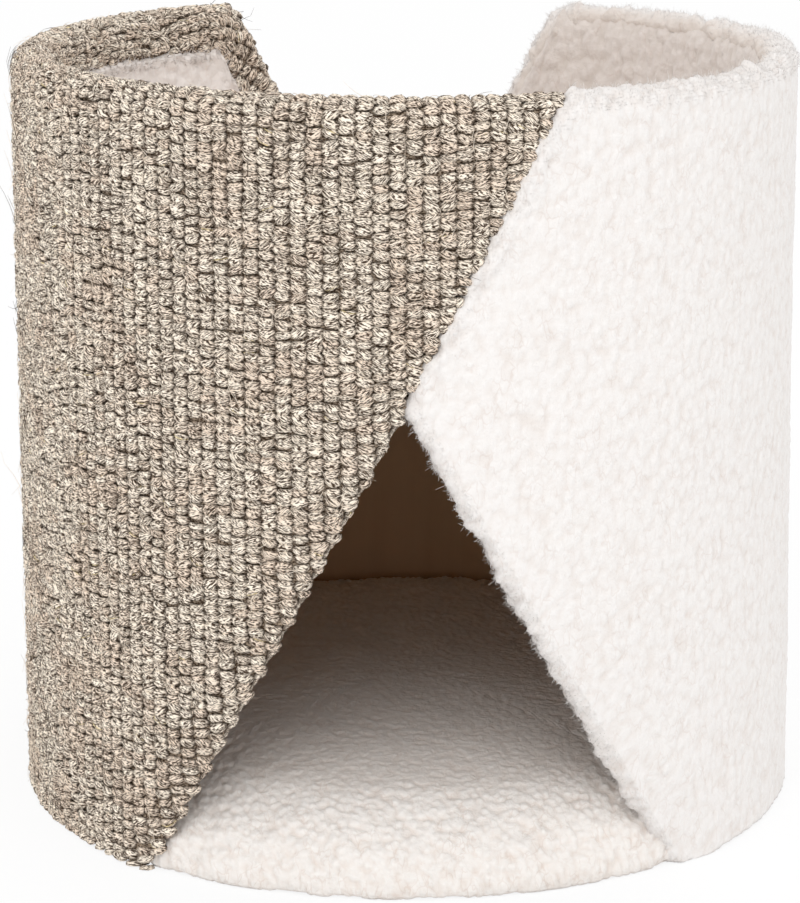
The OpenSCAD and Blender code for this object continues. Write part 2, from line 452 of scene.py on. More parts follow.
@dataclass(frozen=True)
class Jacket:
    """Wraps a flat cover round the drum, over its rim and over its cut edges.

    Args:
        drum: sizes of the drum.
        cover: which of the two covers.
        stand: radius of the backing where it rolls over the rim.
        entrance: its fold over the entrance's edge.
        notch: its fold over the rear notch's edge.
        flare: how far the outer face spreads forwards at the foot, beside the entrance.
        flare_wide: width over which that spread fades out.
        flare_high: height at which it ends.
        neutral: radius at which the cover keeps its length on the rim.
        peak_fade: height over which the entrance's fold runs out at its peak.
        floor_fade: height over which the notch's fold starts above its floor.
        corner: share of the way over the end of the wall that each of its corners takes.
        corner_step: how far each corner goes across the end of the wall.
        turn: share of that way in which the pile's direction turns.
        lean_over: how far the pile leans over a sharp edge.
        lean_from: distance from the fold line at which it starts to lean.
        rim_squash: part of the pile's height that the rim takes.
    """

    drum: Drum
    cover: Cover
    stand: float
    entrance: EdgeFold
    notch: EdgeFold
    flare: float
    flare_wide: float = 0.030
    flare_high: float = 0.10
    neutral: float = 0.008
    peak_fade: float = 0.008
    floor_fade: float = 0.010
    corner: float = 0.22
    corner_step: float = 0.0007
    turn: float = 0.36
    lean_over: float = 1.4
    lean_from: float = 0.012
    rim_squash: float = 0.22

    @property
    def rim_level(self) -> float:
        """Level at which the covers start to roll over the rim."""
        return self.drum.height - self.drum.roll

    @property
    def top(self) -> float:
        """Height of the flat cover, with what is rolled over the rim and turned in."""
        return self.rim_level + (math.pi * self.neutral + self.drum.turn_in - self.drum.roll)

    def past_notch(self, x: Array, z: Array) -> list[Array]:
        """Distance past the notch's whole fold line: its floor, its leaning sides and a circle at each lower corner.

        Args:
            x: place across the drum.
            z: level.

        Returns:
            The distance, positive in the notch, and the X and Z parts of the direction into it.
        """
        d, room, lean = self.drum, self.notch.room, self.drum.notch_lean
        centre_x = float(d.notch_half(d.notch_floor)) - d.notch_round * (1 - math.sin(lean)) / math.cos(lean)
        across, above = np.abs(x) - centre_x, z - d.notch_floor - d.notch_round
        reach = np.maximum(np.hypot(across, above), SMALL)
        turn = np.sign(x)
        flat = (z - d.notch_floor + room, 0.0, 1.0)
        side = slope(d.notch_half(z, room) - np.abs(x), lean, -turn, 1.0)
        corner = (d.notch_round + room - reach, -turn * across / reach, -above / reach)
        on_floor = (across < 0) & (flat[0] <= side[0])
        on_side = (across < 0) | (across * math.sin(lean) + above * math.cos(lean) > 0)
        return [np.where(on_floor, f, np.where(on_side, s, c)) for f, s, c in zip(flat, side, corner)]

    def past_cut(self, x: Array, z: Array, rear: Flags) -> tuple[Array, ...]:
        """Distance past the fold line of the entrance, in front, or of the notch, at the rear.

        The fold line is the edge's outline grown into the wall by the fold's room. Each side is a straight line
        and the distance is the gap across times the cosine of its lean.

        Args:
            x: place across the drum.
            z: level.
            rear: True behind the drum's axis.

        Returns:
            The distance, positive in the opening, and the X and Z parts of the direction into the opening.
        """
        d = self.drum
        if self.cover is Cover.SISAL:
            low = self.entrance.room * soft_step((d.entrance_h - z) / self.peak_fade)
            high = self.notch.room * soft_step((z - d.notch_floor) / self.floor_fade)
            front = slope(x - d.seam_x(z, low), d.seam_lean, 1.0, -1.0)
            back = slope(x + d.notch_half(z, high), d.notch_lean, 1.0, 1.0)
        else:
            front = slope(d.plush_x(z, self.entrance.room) - x, d.plush_lean, -1.0, -1.0)
            back = self.past_notch(x, z)
        return tuple(np.where(rear, b, f) for f, b in zip(front, back))

    def over_rim(self, level: Array, lift: float) -> tuple[Array, Array]:
        """A face that stands on the cover, up the outside, over the rim by a half circle and down the inside.

        Args:
            level: heights on the flat cover.
            lift: how far the face stands on the cover.

        Returns:
            Its radius from the drum's axis and its height.
        """
        bend = np.clip((level - self.rim_level) / self.neutral, 0.0, math.pi)
        over = np.maximum(level - self.rim_level - math.pi * self.neutral, 0.0)
        far = self.stand + lift
        return self.drum.mid_wall + far * np.cos(bend), np.minimum(level, self.rim_level) + far * np.sin(bend) - over

    def fold(self, angle: Array, level: Array) -> Fold:
        """Carries points of the flat cover onto the drum.

        On the outside a point stays on the cylinder. Past the rim's fold line it goes round a half circle about the
        middle of the wall. Past a cut edge's fold line it goes round a tight corner, along the end of the wall,
        which is cut parallel to Y, and round a second corner; where that makes a sharp edge the pile leans over it.
        Beyond either it runs straight back along the inside.
        Where the rim meets a cut edge the two ways are blended by their shares of the distance.

        Args:
            angle: angle from the front, towards the plush side.
            level: height on the flat cover, which goes on past the rim.

        Returns:
            Where the points land.
        """
        mid, turn_in = self.drum.mid_wall, self.drum.turn_in
        outer, inner = mid + self.stand, mid - self.stand
        x = outer * np.sin(angle)
        rear = np.cos(angle) < 0
        cut, cut_x, cut_z = self.past_cut(x, level, rear)
        room, face, squash, way = (np.where(rear, n, e) for n, e in zip(astuple(self.notch), astuple(self.entrance)))

        # Way past the two fold lines
        up = np.maximum(level - self.rim_level, 0.0)
        into = np.maximum(cut, 0.0)
        foot_x = x - into * cut_x
        foot_z = level - up - into * cut_z
        steep = np.sqrt(np.maximum(1.0 - (foot_x / outer) ** 2, 0.1))
        into_skin = into * np.hypot(cut_x / steep, cut_z)
        past = np.hypot(up, into_skin)
        rim_part, cut_part = up / np.maximum(past, TINY), into_skin / np.maximum(past, TINY)
        length = rim_part**2 * math.pi * self.neutral + cut_part**2 * way + SMALL
        share = np.minimum(past / length, 1.0)
        over = np.where(past > 0, np.maximum(past - length, 0.0), 0.0)

        # Place on the drum
        bend = math.pi * share
        stops = [0.0, self.corner, 1.0 - self.corner, 1.0]
        face_r = np.interp(share, stops, [outer, outer - self.corner_step, inner + self.corner_step, inner])
        drawn = (room - face) * np.interp(share, stops, [0.0, 1.0, 1.0, 0.0]) - over
        radius = rim_part**2 * (mid + self.stand * np.cos(bend)) + cut_part**2 * face_r
        radius = np.where(past > 0, radius, outer)

        def turned(across: Array, from_axis: Array) -> Array:
            """Angle of a place across the drum at a distance from its axis."""
            side = np.arcsin(np.clip(across / from_axis, -1.0, 1.0))
            return np.where(rear, np.sign(angle) * math.pi - side, side)

        start = np.where(into > 0, turned(foot_x, outer), angle)
        there = start + np.sqrt(cut_part) * (turned(foot_x + drawn * cut_x, face_r) - start)
        there = np.where(into > 0, there, angle)
        z = foot_z + np.sqrt(rim_part) * (self.stand * np.sin(bend) - over) + np.sqrt(cut_part) * drawn * cut_z
        zero = np.zeros_like(angle)
        radial = on_ring(there)

        # Direction out of the backing
        first = soft_step(share / self.turn)[..., None]
        second = soft_step((share - (1.0 - self.turn)) / self.turn)[..., None]
        toward = np.stack([cut_x, zero, cut_z], -1)
        end_face = first * (1.0 - second)
        sharp = np.where(rear, 0.0, self.lean_over * np.maximum(-cut_x * np.sin(there), 0.0))
        lean = (sharp * soft_step((cut + self.lean_from) / self.lean_from))[..., None] * (1.0 - first)
        cut_normal = unit((1.0 - first - second) * radial + (end_face + lean) * toward)
        rim_normal = np.cos(bend)[..., None] * radial + np.sin(bend)[..., None] * UP
        normal = unit(rim_part[..., None] * rim_normal + cut_part[..., None] * cut_normal)
        normal = np.where((past > 0)[..., None], normal, unit(radial + lean * toward))

        # Spread at the foot, and what is left of the turned-in strips
        beside = np.where(rear, 0.0, np.exp(np.minimum(cut, 0.0) / self.flare_wide))
        beside = beside * np.maximum(1.0 - z / self.flare_high, 0.0) ** 2
        spread = self.flare * beside * np.clip((radius - inner) / (outer - inner), 0.0, 1.0)
        base = radius[..., None] * radial + np.stack([zero, -spread, z], -1)
        limit = rim_part**2 * (turn_in - self.drum.roll) + cut_part**2 * (turn_in - room)
        left = np.where(past > 0, limit - over, 1.0)
        land_x = foot_x - over * cut_part * cut_x
        land_z = foot_z - over * (rim_part + cut_part * cut_z)
        other = np.where(up > into, -self.past_cut(land_x, land_z, rear)[0], self.rim_level - land_z)
        slack = np.where(over > 0, other - over, 1.0)
        pressed = (1.0 - squash) * cut_part**2 * end_face[..., 0]
        thin = 1.0 - pressed - self.rim_squash * rim_part**2 * np.sin(bend)
        return Fold(base, normal, past, cut, left, slack, thin, cut_x, np.where(past > 0, share, 0.0))


class Nodes:
    """Small helper that adds nodes to a tree and links them."""

    def __init__(self, tree: bpy.types.NodeTree) -> None:
        """Keeps the tree."""
        self.tree = tree

    def feed(self, source: object, target: Socket) -> None:
        """Links an output to an input, or sets the input where the source is a plain value.

        Args:
            source: an output, a number or a colour.
            target: the input.
        """
        if isinstance(source, Socket):
            self.tree.links.new(source, target)
        else:
            target.default_value = (*source, 1.0) if target.type == "RGBA" else source

    def add(self, kind: str, sockets: dict[str | int, object] | None = None, **settings: object) -> bpy.types.Node:
        """Adds a node, sets its properties and feeds its inputs.

        Args:
            kind: the node's type.
            sockets: what goes into which of its inputs.
            settings: its properties.

        Returns:
            The node.
        """
        node = self.tree.nodes.new(kind)
        for key, value in settings.items():
            setattr(node, key, value)
        for key, source in (sockets or {}).items():
            self.feed(source, node.inputs[key])
        return node

    def math(self, operation: str, *terms: object) -> Socket:
        """Arithmetic on two or three numbers."""
        return self.add("ShaderNodeMath", dict(enumerate(terms)), operation=operation).outputs[0]

    def between(self, share: Socket, first: Socket, second: Socket) -> Socket:
        """Mixes two shaders."""
        return self.add("ShaderNodeMixShader", {0: share, 1: first, 2: second}).outputs[0]


class Shader(Nodes):
    """Builds one procedural material."""

    BEND_SCALE = 0.7

    def __init__(self, name: str, **surface: float) -> None:
        """Starts a material.

        Args:
            name: its name.
            surface: plain values of the principled shader's inputs, with underscores for blanks.
        """
        self.material = bpy.data.materials.new(name)
        self.material.use_nodes = True
        super().__init__(self.material.node_tree)
        self.surface = self.tree.nodes["Principled BSDF"]
        for key, value in surface.items():
            self.surface.inputs[key.replace("_", " ")].default_value = value

    def place(self, scale: Colour = (1.0, 1.0, 1.0), attribute: str | None = None) -> Socket:
        """Coordinates for a pattern: the object's own, or a mesh attribute, scaled.

        Args:
            scale: how much each axis is stretched.
            attribute: name of a mesh attribute, or None for Object coordinates.

        Returns:
            The vector output.
        """
        if attribute:
            source = self.add("ShaderNodeAttribute", attribute_name=attribute).outputs["Vector"]
        else:
            source = self.add("ShaderNodeTexCoord").outputs["Object"]
        return self.add("ShaderNodeMapping", {"Vector": source, "Scale": scale}).outputs["Vector"]

    def value(self, attribute: str) -> Socket:
        """One number of each point, from a mesh attribute."""
        return self.add("ShaderNodeAttribute", attribute_name=attribute).outputs["Fac"]

    def noise(self, where: Socket, scale: float = 1.0, detail: float = 2.0, swirl: float = 0.0) -> Socket:
        """Noise from 0 to 1 at a scale, with its pattern swirled on request."""
        sockets = {"Vector": where, "Scale": scale, "Detail": detail, "Distortion": swirl}
        return self.add("ShaderNodeTexNoise", sockets).outputs["Fac"]

    def cells(self, where: Socket, scale: float, wobble: float) -> Socket:
        """Distance from the borders of uneven cells, with the borders bent by a noise.

        Args:
            where: coordinates.
            scale: cells per unit of them.
            wobble: how far the noise moves the borders.

        Returns:
            The distance, in cell sizes.
        """
        bend = self.add("ShaderNodeTexNoise", {"Vector": where, "Scale": self.BEND_SCALE * scale}).outputs["Color"]
        moved = self.add("ShaderNodeVectorMath", {0: bend, 1: (wobble,) * 3, 2: where}, operation="MULTIPLY_ADD")
        sockets = {"Vector": moved.outputs["Vector"], "Scale": scale}
        return self.add("ShaderNodeTexVoronoi", sockets, feature="DISTANCE_TO_EDGE").outputs["Distance"]

    def span(self, source: Socket, low: float, high: float, to: Pair = (0.0, 1.0)) -> Socket:
        """Maps the range low to high onto another range, with its ends clamped."""
        sockets = {"Value": source, "From Min": low, "From Max": high, "To Min": to[0], "To Max": to[1]}
        return self.add("ShaderNodeMapRange", sockets, clamp=True).outputs["Result"]

    def mix(self, share: object, first: object, second: object, blend: str = "MIX") -> Socket:
        """Mixes two colours, each a socket or a plain colour."""
        sockets = {0: share, 6: first, 7: second}
        return self.add("ShaderNodeMix", sockets, data_type="RGBA", blend_type=blend).outputs[2]

    def finish(self, colour: Socket, height: Socket, depth: float, strength: float = 1.0) -> Material:
        """Joins colour and relief to the shader.

        Args:
            colour: colour output.
            height: relief output from 0 to 1.
            depth: depth of the relief in metres.
            strength: how strongly the relief shows.

        Returns:
            The finished material.
        """
        bump = self.add("ShaderNodeBump", {"Strength": strength, "Distance": depth, "Height": height})
        self.feed(colour, self.surface.inputs["Base Color"])
        self.feed(bump.outputs["Normal"], self.surface.inputs["Normal"])
        return self.material


@dataclass(frozen=True)
class SisalFinish:
    """Looped sisal yarn: pale strands darkened by painted shade at their roots and flanks, each loop of its own tone.
    """

    pale: Colour = linear(255, 243, 226)
    # dark: colour of the painted shade at roots and flanks, and of the lines that the fibre noise draws
    dark: Colour = linear(74, 58, 45)
    straw: Colour = linear(244, 226, 176)
    grey: Colour = linear(244, 226, 207)
    fibre_scale: Colour = (520.0, 1750.0, 1750.0)
    relief: float = 0.0005

    def material(self) -> Material:
        """Each strand has its own tone, with painted shade at its roots and flanks from the rise attribute, and fine
        fibres along it.

        Returns:
            The material.
        """
        s = Shader("looped_sisal", Roughness=0.8, Specular_IOR_Level=0.25)
        fibre = s.noise(s.place(self.fibre_scale, "yarn"), detail=0.3, swirl=0.6)
        tone = s.value("tone")
        light = s.mix(s.span(tone, 0.86, 0.93), s.mix(s.span(tone, 0.05, 0.55), self.grey, self.pale), self.straw)
        # Painted shade: the rise attribute, low at roots and flanks, mixes in the dark colour; the fibre noise's low
        # parts mix it in too
        shade = s.math("MULTIPLY", s.span(s.value("rise"), 0.10, 0.66), s.span(fibre, 0.43, 0.53))
        return s.finish(s.mix(shade, self.dark, light), fibre, self.relief, 0.7)


@dataclass(frozen=True)
class BackingFinish:
    """Woven backing of the sisal, dark between the loops."""

    thread: Colour = linear(196, 176, 154)
    gap: Colour = linear(84, 67, 53)
    weave_scale: Colour = (800.0, 800.0, 1700.0)
    relief: float = 0.0006

    def material(self) -> Material:
        """A fine stretched noise stands for the tweed of short fibres.

        Returns:
            The material.
        """
        s = Shader("sisal_backing", Roughness=0.9, Specular_IOR_Level=0.2)
        weave = s.noise(s.place(self.weave_scale), detail=0.3, swirl=0.6)
        return s.finish(s.mix(s.span(weave, 0.44, 0.60), self.gap, self.thread), weave, self.relief)


@dataclass(frozen=True)
class PlushFinish:
    """Curly plush, near white, with painted shade that makes it a little warmer and darker in the creases, and a soft
    sheen.
    """

    name: str = "curly_plush"
    crest: Colour = linear(238, 235, 233)
    # crease: painted shade colour for the curls' creases and hollows
    crease: Colour = linear(229, 222, 217)
    # turned: colour mixed in by the inner attribute; painted shade on the plush cover's turned-in strips, painted light
    # on the cream plush lining's left
    turned: Colour = linear(220, 210, 202)
    # shade: painted shade multiplied in along the thin lines between locks
    shade: Colour = linear(212, 190, 176)
    line: float = 0.22
    line_wide: float = 0.09
    curl_scale: float = 420.0
    fuzz_scale: float = 1900.0
    fuzz_share: float = 0.35
    break_scale: float = 110.0
    lock_scale: float = 230.0
    lock_long: Colour = (1.0, 1.0, 0.55)
    lock_bend: float = 0.008
    lock_puff: float = 0.15
    relief: float = 0.0012

    def material(self) -> Material:
        """Colour follows the depth of the curls as painted shade, with thin broken lines of painted shade between
        locks; two noises give the fibres.

        Returns:
            The material.
        """
        s = Shader(self.name, Roughness=1.0, Specular_IOR_Level=0.1, Sheen_Weight=0.25, Sheen_Roughness=0.6)
        place = s.place()
        curl = s.noise(place, self.curl_scale, 3.0)
        height = s.math("MULTIPLY_ADD", s.noise(place, self.fuzz_scale), self.fuzz_share, curl)
        # Painted shade: the crease colour where the curl attribute or the curl noise is low
        colour = s.mix(s.span(s.value("curl"), 0.12, 0.7), self.crease, self.crest)
        colour = s.mix(s.span(curl, 0.3, 0.7, (0.35, 0.0)), colour, self.crease)
        # Painted light and shade: the turned colour where the inner attribute is set
        colour = s.mix(s.value("inner"), colour, self.turned)
        border = s.cells(s.place(self.lock_long), self.lock_scale, self.lock_bend)
        broken = s.span(s.noise(place, self.break_scale), 0.46, 0.62)
        # Painted shade: thin broken lines between locks, darkened by the shade colour
        line = s.math("MULTIPLY", s.span(border, 0.0, self.line_wide, (self.line, 0.0)), broken)
        colour = s.mix(line, colour, s.mix(1.0, colour, self.shade, "MULTIPLY"))
        height = s.math("MULTIPLY_ADD", s.span(border, 0.0, 0.25), self.lock_puff, height)
        return s.finish(colour, height, self.relief, 0.5)


@dataclass(frozen=True)
class BoardFinish:
    """Smooth brown wall board with a faint upright grain."""

    pale: Colour = linear(208, 171, 132)
    dark: Colour = linear(191, 153, 114)
    streak_scale: Colour = (90.0, 90.0, 6.0)
    mottle_scale: float = 14.0
    relief: float = 0.0003

    def material(self) -> Material:
        """Long upright streaks over a broad mottle.

        Returns:
            The material.
        """
        s = Shader("brown_wall_board", Roughness=0.62, Specular_IOR_Level=0.35)
        streak = s.noise(s.place(self.streak_scale), detail=4.0)
        mottle = s.noise(s.place(), self.mottle_scale, 3.0)
        share = s.math("MULTIPLY", streak, s.span(mottle, 0.2, 0.8, (0.6, 1.3)))
        return s.finish(s.mix(share, self.dark, self.pale), streak, self.relief, 0.4)


@dataclass(frozen=True)
class ChipboardFinish:
    """Pressed wood chips of mixed tone."""

    pale: Colour = linear(206, 176, 132)
    dark: Colour = linear(150, 114, 74)
    flake_scale: Colour = (130.0, 260.0, 400.0)
    grit_scale: float = 900.0
    relief: float = 0.0004

    def material(self) -> Material:
        """Flakes from stretched noise, with a fine grit.

        Returns:
            The material.
        """
        s = Shader("chipboard", Roughness=0.75, Specular_IOR_Level=0.3)
        flake = s.noise(s.place(self.flake_scale), detail=3.0)
        grit = s.noise(s.place(), self.grit_scale)
        colour = s.mix(s.span(flake, 0.35, 0.65), self.dark, self.pale)
        return s.finish(s.mix(s.span(grit, 0.55, 0.7, (0.0, 0.35)), colour, self.dark), grit, self.relief, 0.6)


@dataclass(frozen=True)
class FeltFinish:
    """Dark needled felt."""

    fibre: Colour = linear(86, 86, 90)
    ground: Colour = linear(58, 58, 61)
    first_scale: Colour = (300.0, 1500.0, 900.0)
    second_scale: Colour = (1500.0, 300.0, 900.0)
    relief: float = 0.0006

    def material(self) -> Material:
        """Matted fibres from two noises stretched across each other.

        Returns:
            The material.
        """
        s = Shader("needled_felt", Roughness=1.0, Specular_IOR_Level=0.1, Sheen_Weight=0.2)
        mat = s.math("MAXIMUM", s.noise(s.place(self.first_scale)), s.noise(s.place(self.second_scale)))
        return s.finish(s.mix(s.span(mat, 0.4, 0.75), self.ground, self.fibre), mat, self.relief)


@dataclass(frozen=True)
class SteelFinish:
    """Bright steel of screws and staples."""

    bright: Colour = linear(196, 197, 200)
    dull: Colour = linear(160, 161, 165)
    line_scale: Colour = (800.0, 800.0, 3000.0)
    relief: float = 0.0001

    def material(self) -> Material:
        """Fine drawn lines on metal.

        Returns:
            The material.
        """
        s = Shader("screw_steel", Roughness=0.35, Metallic=1.0)
        line = s.noise(s.place(self.line_scale))
        return s.finish(s.mix(line, self.dull, self.bright), line, self.relief, 0.3)


def hair(path: Array, side: Array, thick: Array) -> tuple[Array, list[Ints]]:
    """Thin three-sided tubes along paths.

    Args:
        path: the paths, each of a few points.
        side: a direction that each tube's section is set square to.
        thick: half thickness at each point of a path.

    Returns:
        The tubes' points and faces.
    """
    count, steps = path.shape[:2]
    ahead = unit(np.gradient(path, axis=1))
    first = unit(np.cross(ahead, side))
    second = np.cross(ahead, first)
    spin = 2.0 * np.pi * np.arange(3) / 3.0
    around = np.cos(spin)[:, None] * first[..., None, :] + np.sin(spin)[:, None] * second[..., None, :]
    points = path[..., None, :] + thick[..., None, None] * around
    tube = grid_faces(steps, 3, ring=True)[:, ::-1]
    ends = np.array([[0, 1, 2], [3 * steps - 1, 3 * steps - 2, 3 * steps - 3]])
    return points.reshape(-1, 3), tiled((tube, ends), count, 3 * steps)


@dataclass(frozen=True)
class Fuzz:
    """Short loose fibres that stand out of a plush edge, bent and thinning to their tips."""

    look: Material
    length: Pair = (0.0007, 0.0021)
    thick: float = 0.00013
    seed: int = 83
    # inner: share of the material's turned colour, painted light on the lining's fuzz
    inner: float = 0.0
    stray: float = 0.6
    bend: float = 0.5
    taper: float = 0.65
    steps: int = 3

    def grow(self, name: str, roots: Array, outwards: Array) -> Piece:
        """Grows a fibre from each root: along its normal mixed with a random way, bent by the square of the way.

        Args:
            name: name of the piece.
            roots: where the fibres start.
            outwards: normals there.

        Returns:
            The piece.
        """
        rng = np.random.default_rng(self.seed)
        way, bend, side = rng.standard_normal((3, *roots.shape))
        way = unit(outwards + self.stray * way)[:, None]
        t = np.linspace(0.0, 1.0, self.steps)
        length = rng.uniform(*self.length, len(roots))[:, None, None]
        path = roots[:, None] + length * (way * t[:, None] + self.bend * bend[:, None] * t[:, None] ** 2)
        points, faces = hair(path, side[:, None], self.thick * (1.0 - self.taper * t)[None])
        points[:, 2] = np.maximum(points[:, 2], FLOOR_GAP)
        curl, inner = np.ones(len(points)), np.full(len(points), self.inner)
        return make_piece(name, points, faces, "plush", self.look, curl=curl, inner=inner)


@dataclass(frozen=True)
class Yarn:
    """One kind of tube that a loop is wound of: its thick core, or the fine strands that lie on the core.

    A tube's section is an ellipse, wide along the sheet and deep across it, closed by a flat face underneath; a strand
    also lies off the loop's path by its own two offsets.
    """

    name: str
    strands: int
    rings: int
    sides: int
    wide: float
    deep: float
    off_wide: float = 0.0
    off_deep: float = 0.0
    under: float = math.radians(30.0)
    # flank: painted light kept on a tube's flanks, the rest being painted shade
    flank: float = 0.5
    lay: Pair = (0.12, 0.88)
    pieces: int = 3

    @property
    def each(self) -> int:
        """Points of one tube: its rings and its two ends."""
        return self.rings * self.sides + 2

    def faces(self) -> tuple[Ints, Ints]:
        """Quads of one tube between its rings, and triangles to its two end points.

        Returns:
            The quads and the triangles.
        """
        k = np.arange(self.sides)
        following = (k + 1) % self.sides
        last = 1 + (self.rings - 1) * self.sides
        first_cap = np.stack([0 * k, 1 + following, 1 + k], -1)
        last_cap = np.stack([last + k, last + following, 0 * k + self.each - 1], -1)
        return 1 + grid_faces(self.rings, self.sides, ring=True), np.concatenate([first_cap, last_cap])


@dataclass
class Loops:
    """The loops of the sheet, one row each: half width and its shares each way, rise, sag, twist, tilt, tone, frame."""

    angle: Array
    half: Array
    less: Array
    more: Array
    rise: Array
    sag: Array
    twist: Array
    tilt: Array
    tone: Array
    base: Array
    axes: Array


@dataclass(frozen=True)
class Spread:
    """How much the loops differ, as shares of their middle sizes, and where the spread is cut off."""

    half: float = 0.05
    rise: float = 0.13
    sag: float = 0.8
    twist: float = 0.35
    tilt: float = 0.12
    tone: float = 0.5
    strand: float = 0.10
    strand_tone: float = 0.22
    limit: float = 2.2


@dataclass(frozen=True)
class LooseFibres:
    """Sizes of the fibres that lie over the loops or stand out of them."""

    count: int = 4200
    steps: int = 5
    thick: float = 0.00017
    taper: float = 0.7
    short: Pair = (0.004, 0.011)
    long: Pair = (0.009, 0.024)
    long_share: float = 0.06
    lowest: float = 0.004
    reach: float = 0.005
    seam_gap: float = 0.004
    edge_at: float = 0.003
    edge_wide: float = 0.010
    edge_lift: float = 2.4
    bow: float = 0.22
    lift: float = 0.13
    lift_most: float = 0.010
    stand: float = 0.0062
    arch: float = 0.0008
    floor: float = 0.0015
    tones: Pair = (0.1, 0.8)


@dataclass
class SisalCover:
    """The sheet of looped sisal on the left of the drum: its woven backing, its loops and its loose fibres."""

    drum: Drum
    rib_pitch: float = 0.0073
    rib_depth: float = 0.003
    rib_fill: float = 0.49
    loop_pitch: float = 0.0042
    loop_rise: float = 0.0025
    loop_reach: float = 0.0045
    loop_seat: float = 0.75
    loop_least: float = 0.28
    side_least: float = 0.3
    fold_slack: Pair = (0.0030, 0.0015)
    first_row: float = 0.0026
    sag: float = 0.0006
    half_turns: float = 0.75
    right_laid: float = 0.7
    mean_tone: float = 0.42
    streak_tone: float = 0.9
    most_tone: float = 0.8
    spread: Spread = Spread()
    fibre: LooseFibres = LooseFibres()
    core: Yarn = Yarn("core", 1, 5, 6, 0.00245, 0.0018, under=math.radians(20.0))
    strand: Yarn = Yarn("strand", 2, 4, 3, 0.00036, 0.00036, off_wide=0.0022, off_deep=0.0018, flank=0.8)
    padding: float = 0.0030
    stand: float = 0.0042
    angles: Pair = (math.radians(-226.0), math.radians(34.0))
    backing_grid: tuple[int, int] = (270, 96)
    backing_thick: float = 0.001
    backing_low: Pair = (0.0012, 0.0016)
    flap_past: float = 0.004
    slip: float = 0.0012
    pad_top: float = 0.046
    board_gap: float = 0.002
    strip_trim: float = 0.0058
    straw_share: float = 0.016
    probe: float = 0.0004
    low_yarn: float = 0.0004
    seam_room: float = 0.0002
    seed: int = 7
    look: Material = field(init=False)
    jacket: Jacket = field(init=False)

    def __post_init__(self) -> None:
        """Sets up the wrap and the yarn's finish."""
        self.jacket = Jacket(
            self.drum,
            Cover.SISAL,
            self.stand,
            entrance=EdgeFold(room=0.0036, face=0.0022, squash=0.38, way=0.016),
            notch=EdgeFold(room=0.0098, face=0.0078, squash=0.30, way=0.016),
            flare=0.012,
        )
        self.look = SisalFinish().material()

    def inside(
        self, place: Fold, lift: float, seam_room: float, edge_room: float, strip_room: float, lined: bool = True
    ) -> Flags:
        """Which points of the flat sheet are part of the cover.

        Args:
            place: where the points land.
            lift: height above the backing at which the seam is met.
            seam_room: least distance from the seam.
            edge_room: the same where the sheet rolls over a cut edge.
            strip_room: least distance from the end of a turned-in strip.
            lined: whether points under the tub's lining are left out.

        Returns:
            True for each point that is kept.
        """
        d = self.drum
        tip = place.base + lift * place.normal
        rear = tip[..., 1] > 0
        flap = place.cut > 0
        low = place.base[..., 2]
        edge = np.where(rear, low > d.notch_floor - self.flap_past, low < d.entrance_h + self.flap_past)
        room = np.where(flap, edge_room, seam_room)
        strip_room = strip_room + np.where(flap & ~rear & (strip_room > 0), self.strip_trim, 0.0)
        ends = (place.left >= strip_room) & (place.slack > -self.slip)
        radius = np.hypot(tip[..., 0], tip[..., 1])
        level = tip[..., 2]
        den = (level > self.pad_top) & (level < d.platform_low - self.board_gap)
        clear = (radius > d.wall_in) | den | (level > d.platform_top)
        if lined:
            high = d.lining_edge(tip[..., 0], tip[..., 1], d.lining_grow, d.lining_high)
            clear = clear & ~((radius < d.wall_in) & (level > d.platform_top) & (level < high - self.slip))
        return ends & clear & (~flap | edge) & (d.past_seam(tip, Cover.SISAL) > room) & (level > -0.0005)

    def backing(self) -> tuple[Piece, Pair, float]:
        """Woven backing: a grid on the flat sheet, wrapped round the drum and given a millimetre of thickness.

        Returns:
            The piece, its flat size and its flat area.
        """
        across, up = self.backing_grid
        low, face_low = self.backing_low
        angle, level = np.meshgrid(np.linspace(*self.angles, across), np.linspace(low, self.jacket.top, up))
        place = self.jacket.fold(angle, level)
        kept = self.inside(place, 0.0, 0.0005, -self.flap_past, -self.slip, lined=False).ravel()
        faces = grid_faces(*angle.shape)
        faces = faces[kept[faces].all(axis=1)]
        face = place.base + (self.padding * place.thin)[..., None] * place.normal
        face[..., 2] = np.maximum(face[..., 2], face_low)
        piece = make_piece("sisal_backing", face, [faces], "sisal", BackingFinish().material())
        wall = piece.modifiers.new("thickness", "SOLIDIFY")
        wall.thickness = self.backing_thick + self.padding
        wall.offset = -1.0
        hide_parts("sisal_cover")
        return piece, *flat_cut(faces, self.drum.radius * angle, level)

    def loop_places(self) -> tuple[Array, Array]:
        """Centres of the loops on the flat sheet: ribs across, loops up each rib, both a little uneven.

        Returns:
            Angles and levels of the loops.
        """
        rng = np.random.default_rng(self.seed)
        step = self.rib_pitch / (self.drum.radius - self.rib_depth)
        ribs = np.arange(*self.angles, step)
        rows = np.arange(self.first_row, self.jacket.top + 0.002, self.loop_pitch)
        angle, level = np.meshgrid(ribs, rows, indexing="ij")
        rib = np.broadcast_to(np.arange(len(ribs))[:, None], angle.shape)
        drift = np.stack([rib * self.rib_pitch, level * 0.2, 0.0 * level], -1)
        slow, own = Noise.smooth(drift, 0.06, 3) - 0.5, Noise.lattice(np.stack([rib] * 3, -1), 5) - 0.5
        phase = slow * 0.003 + own * 0.0034
        angle = angle + step * rng.normal(0.0, 0.03, angle.shape)
        level = level + phase * soft_step(level / 0.02) + rng.normal(0.0, 0.00018, level.shape)
        return angle.ravel(), level.ravel()

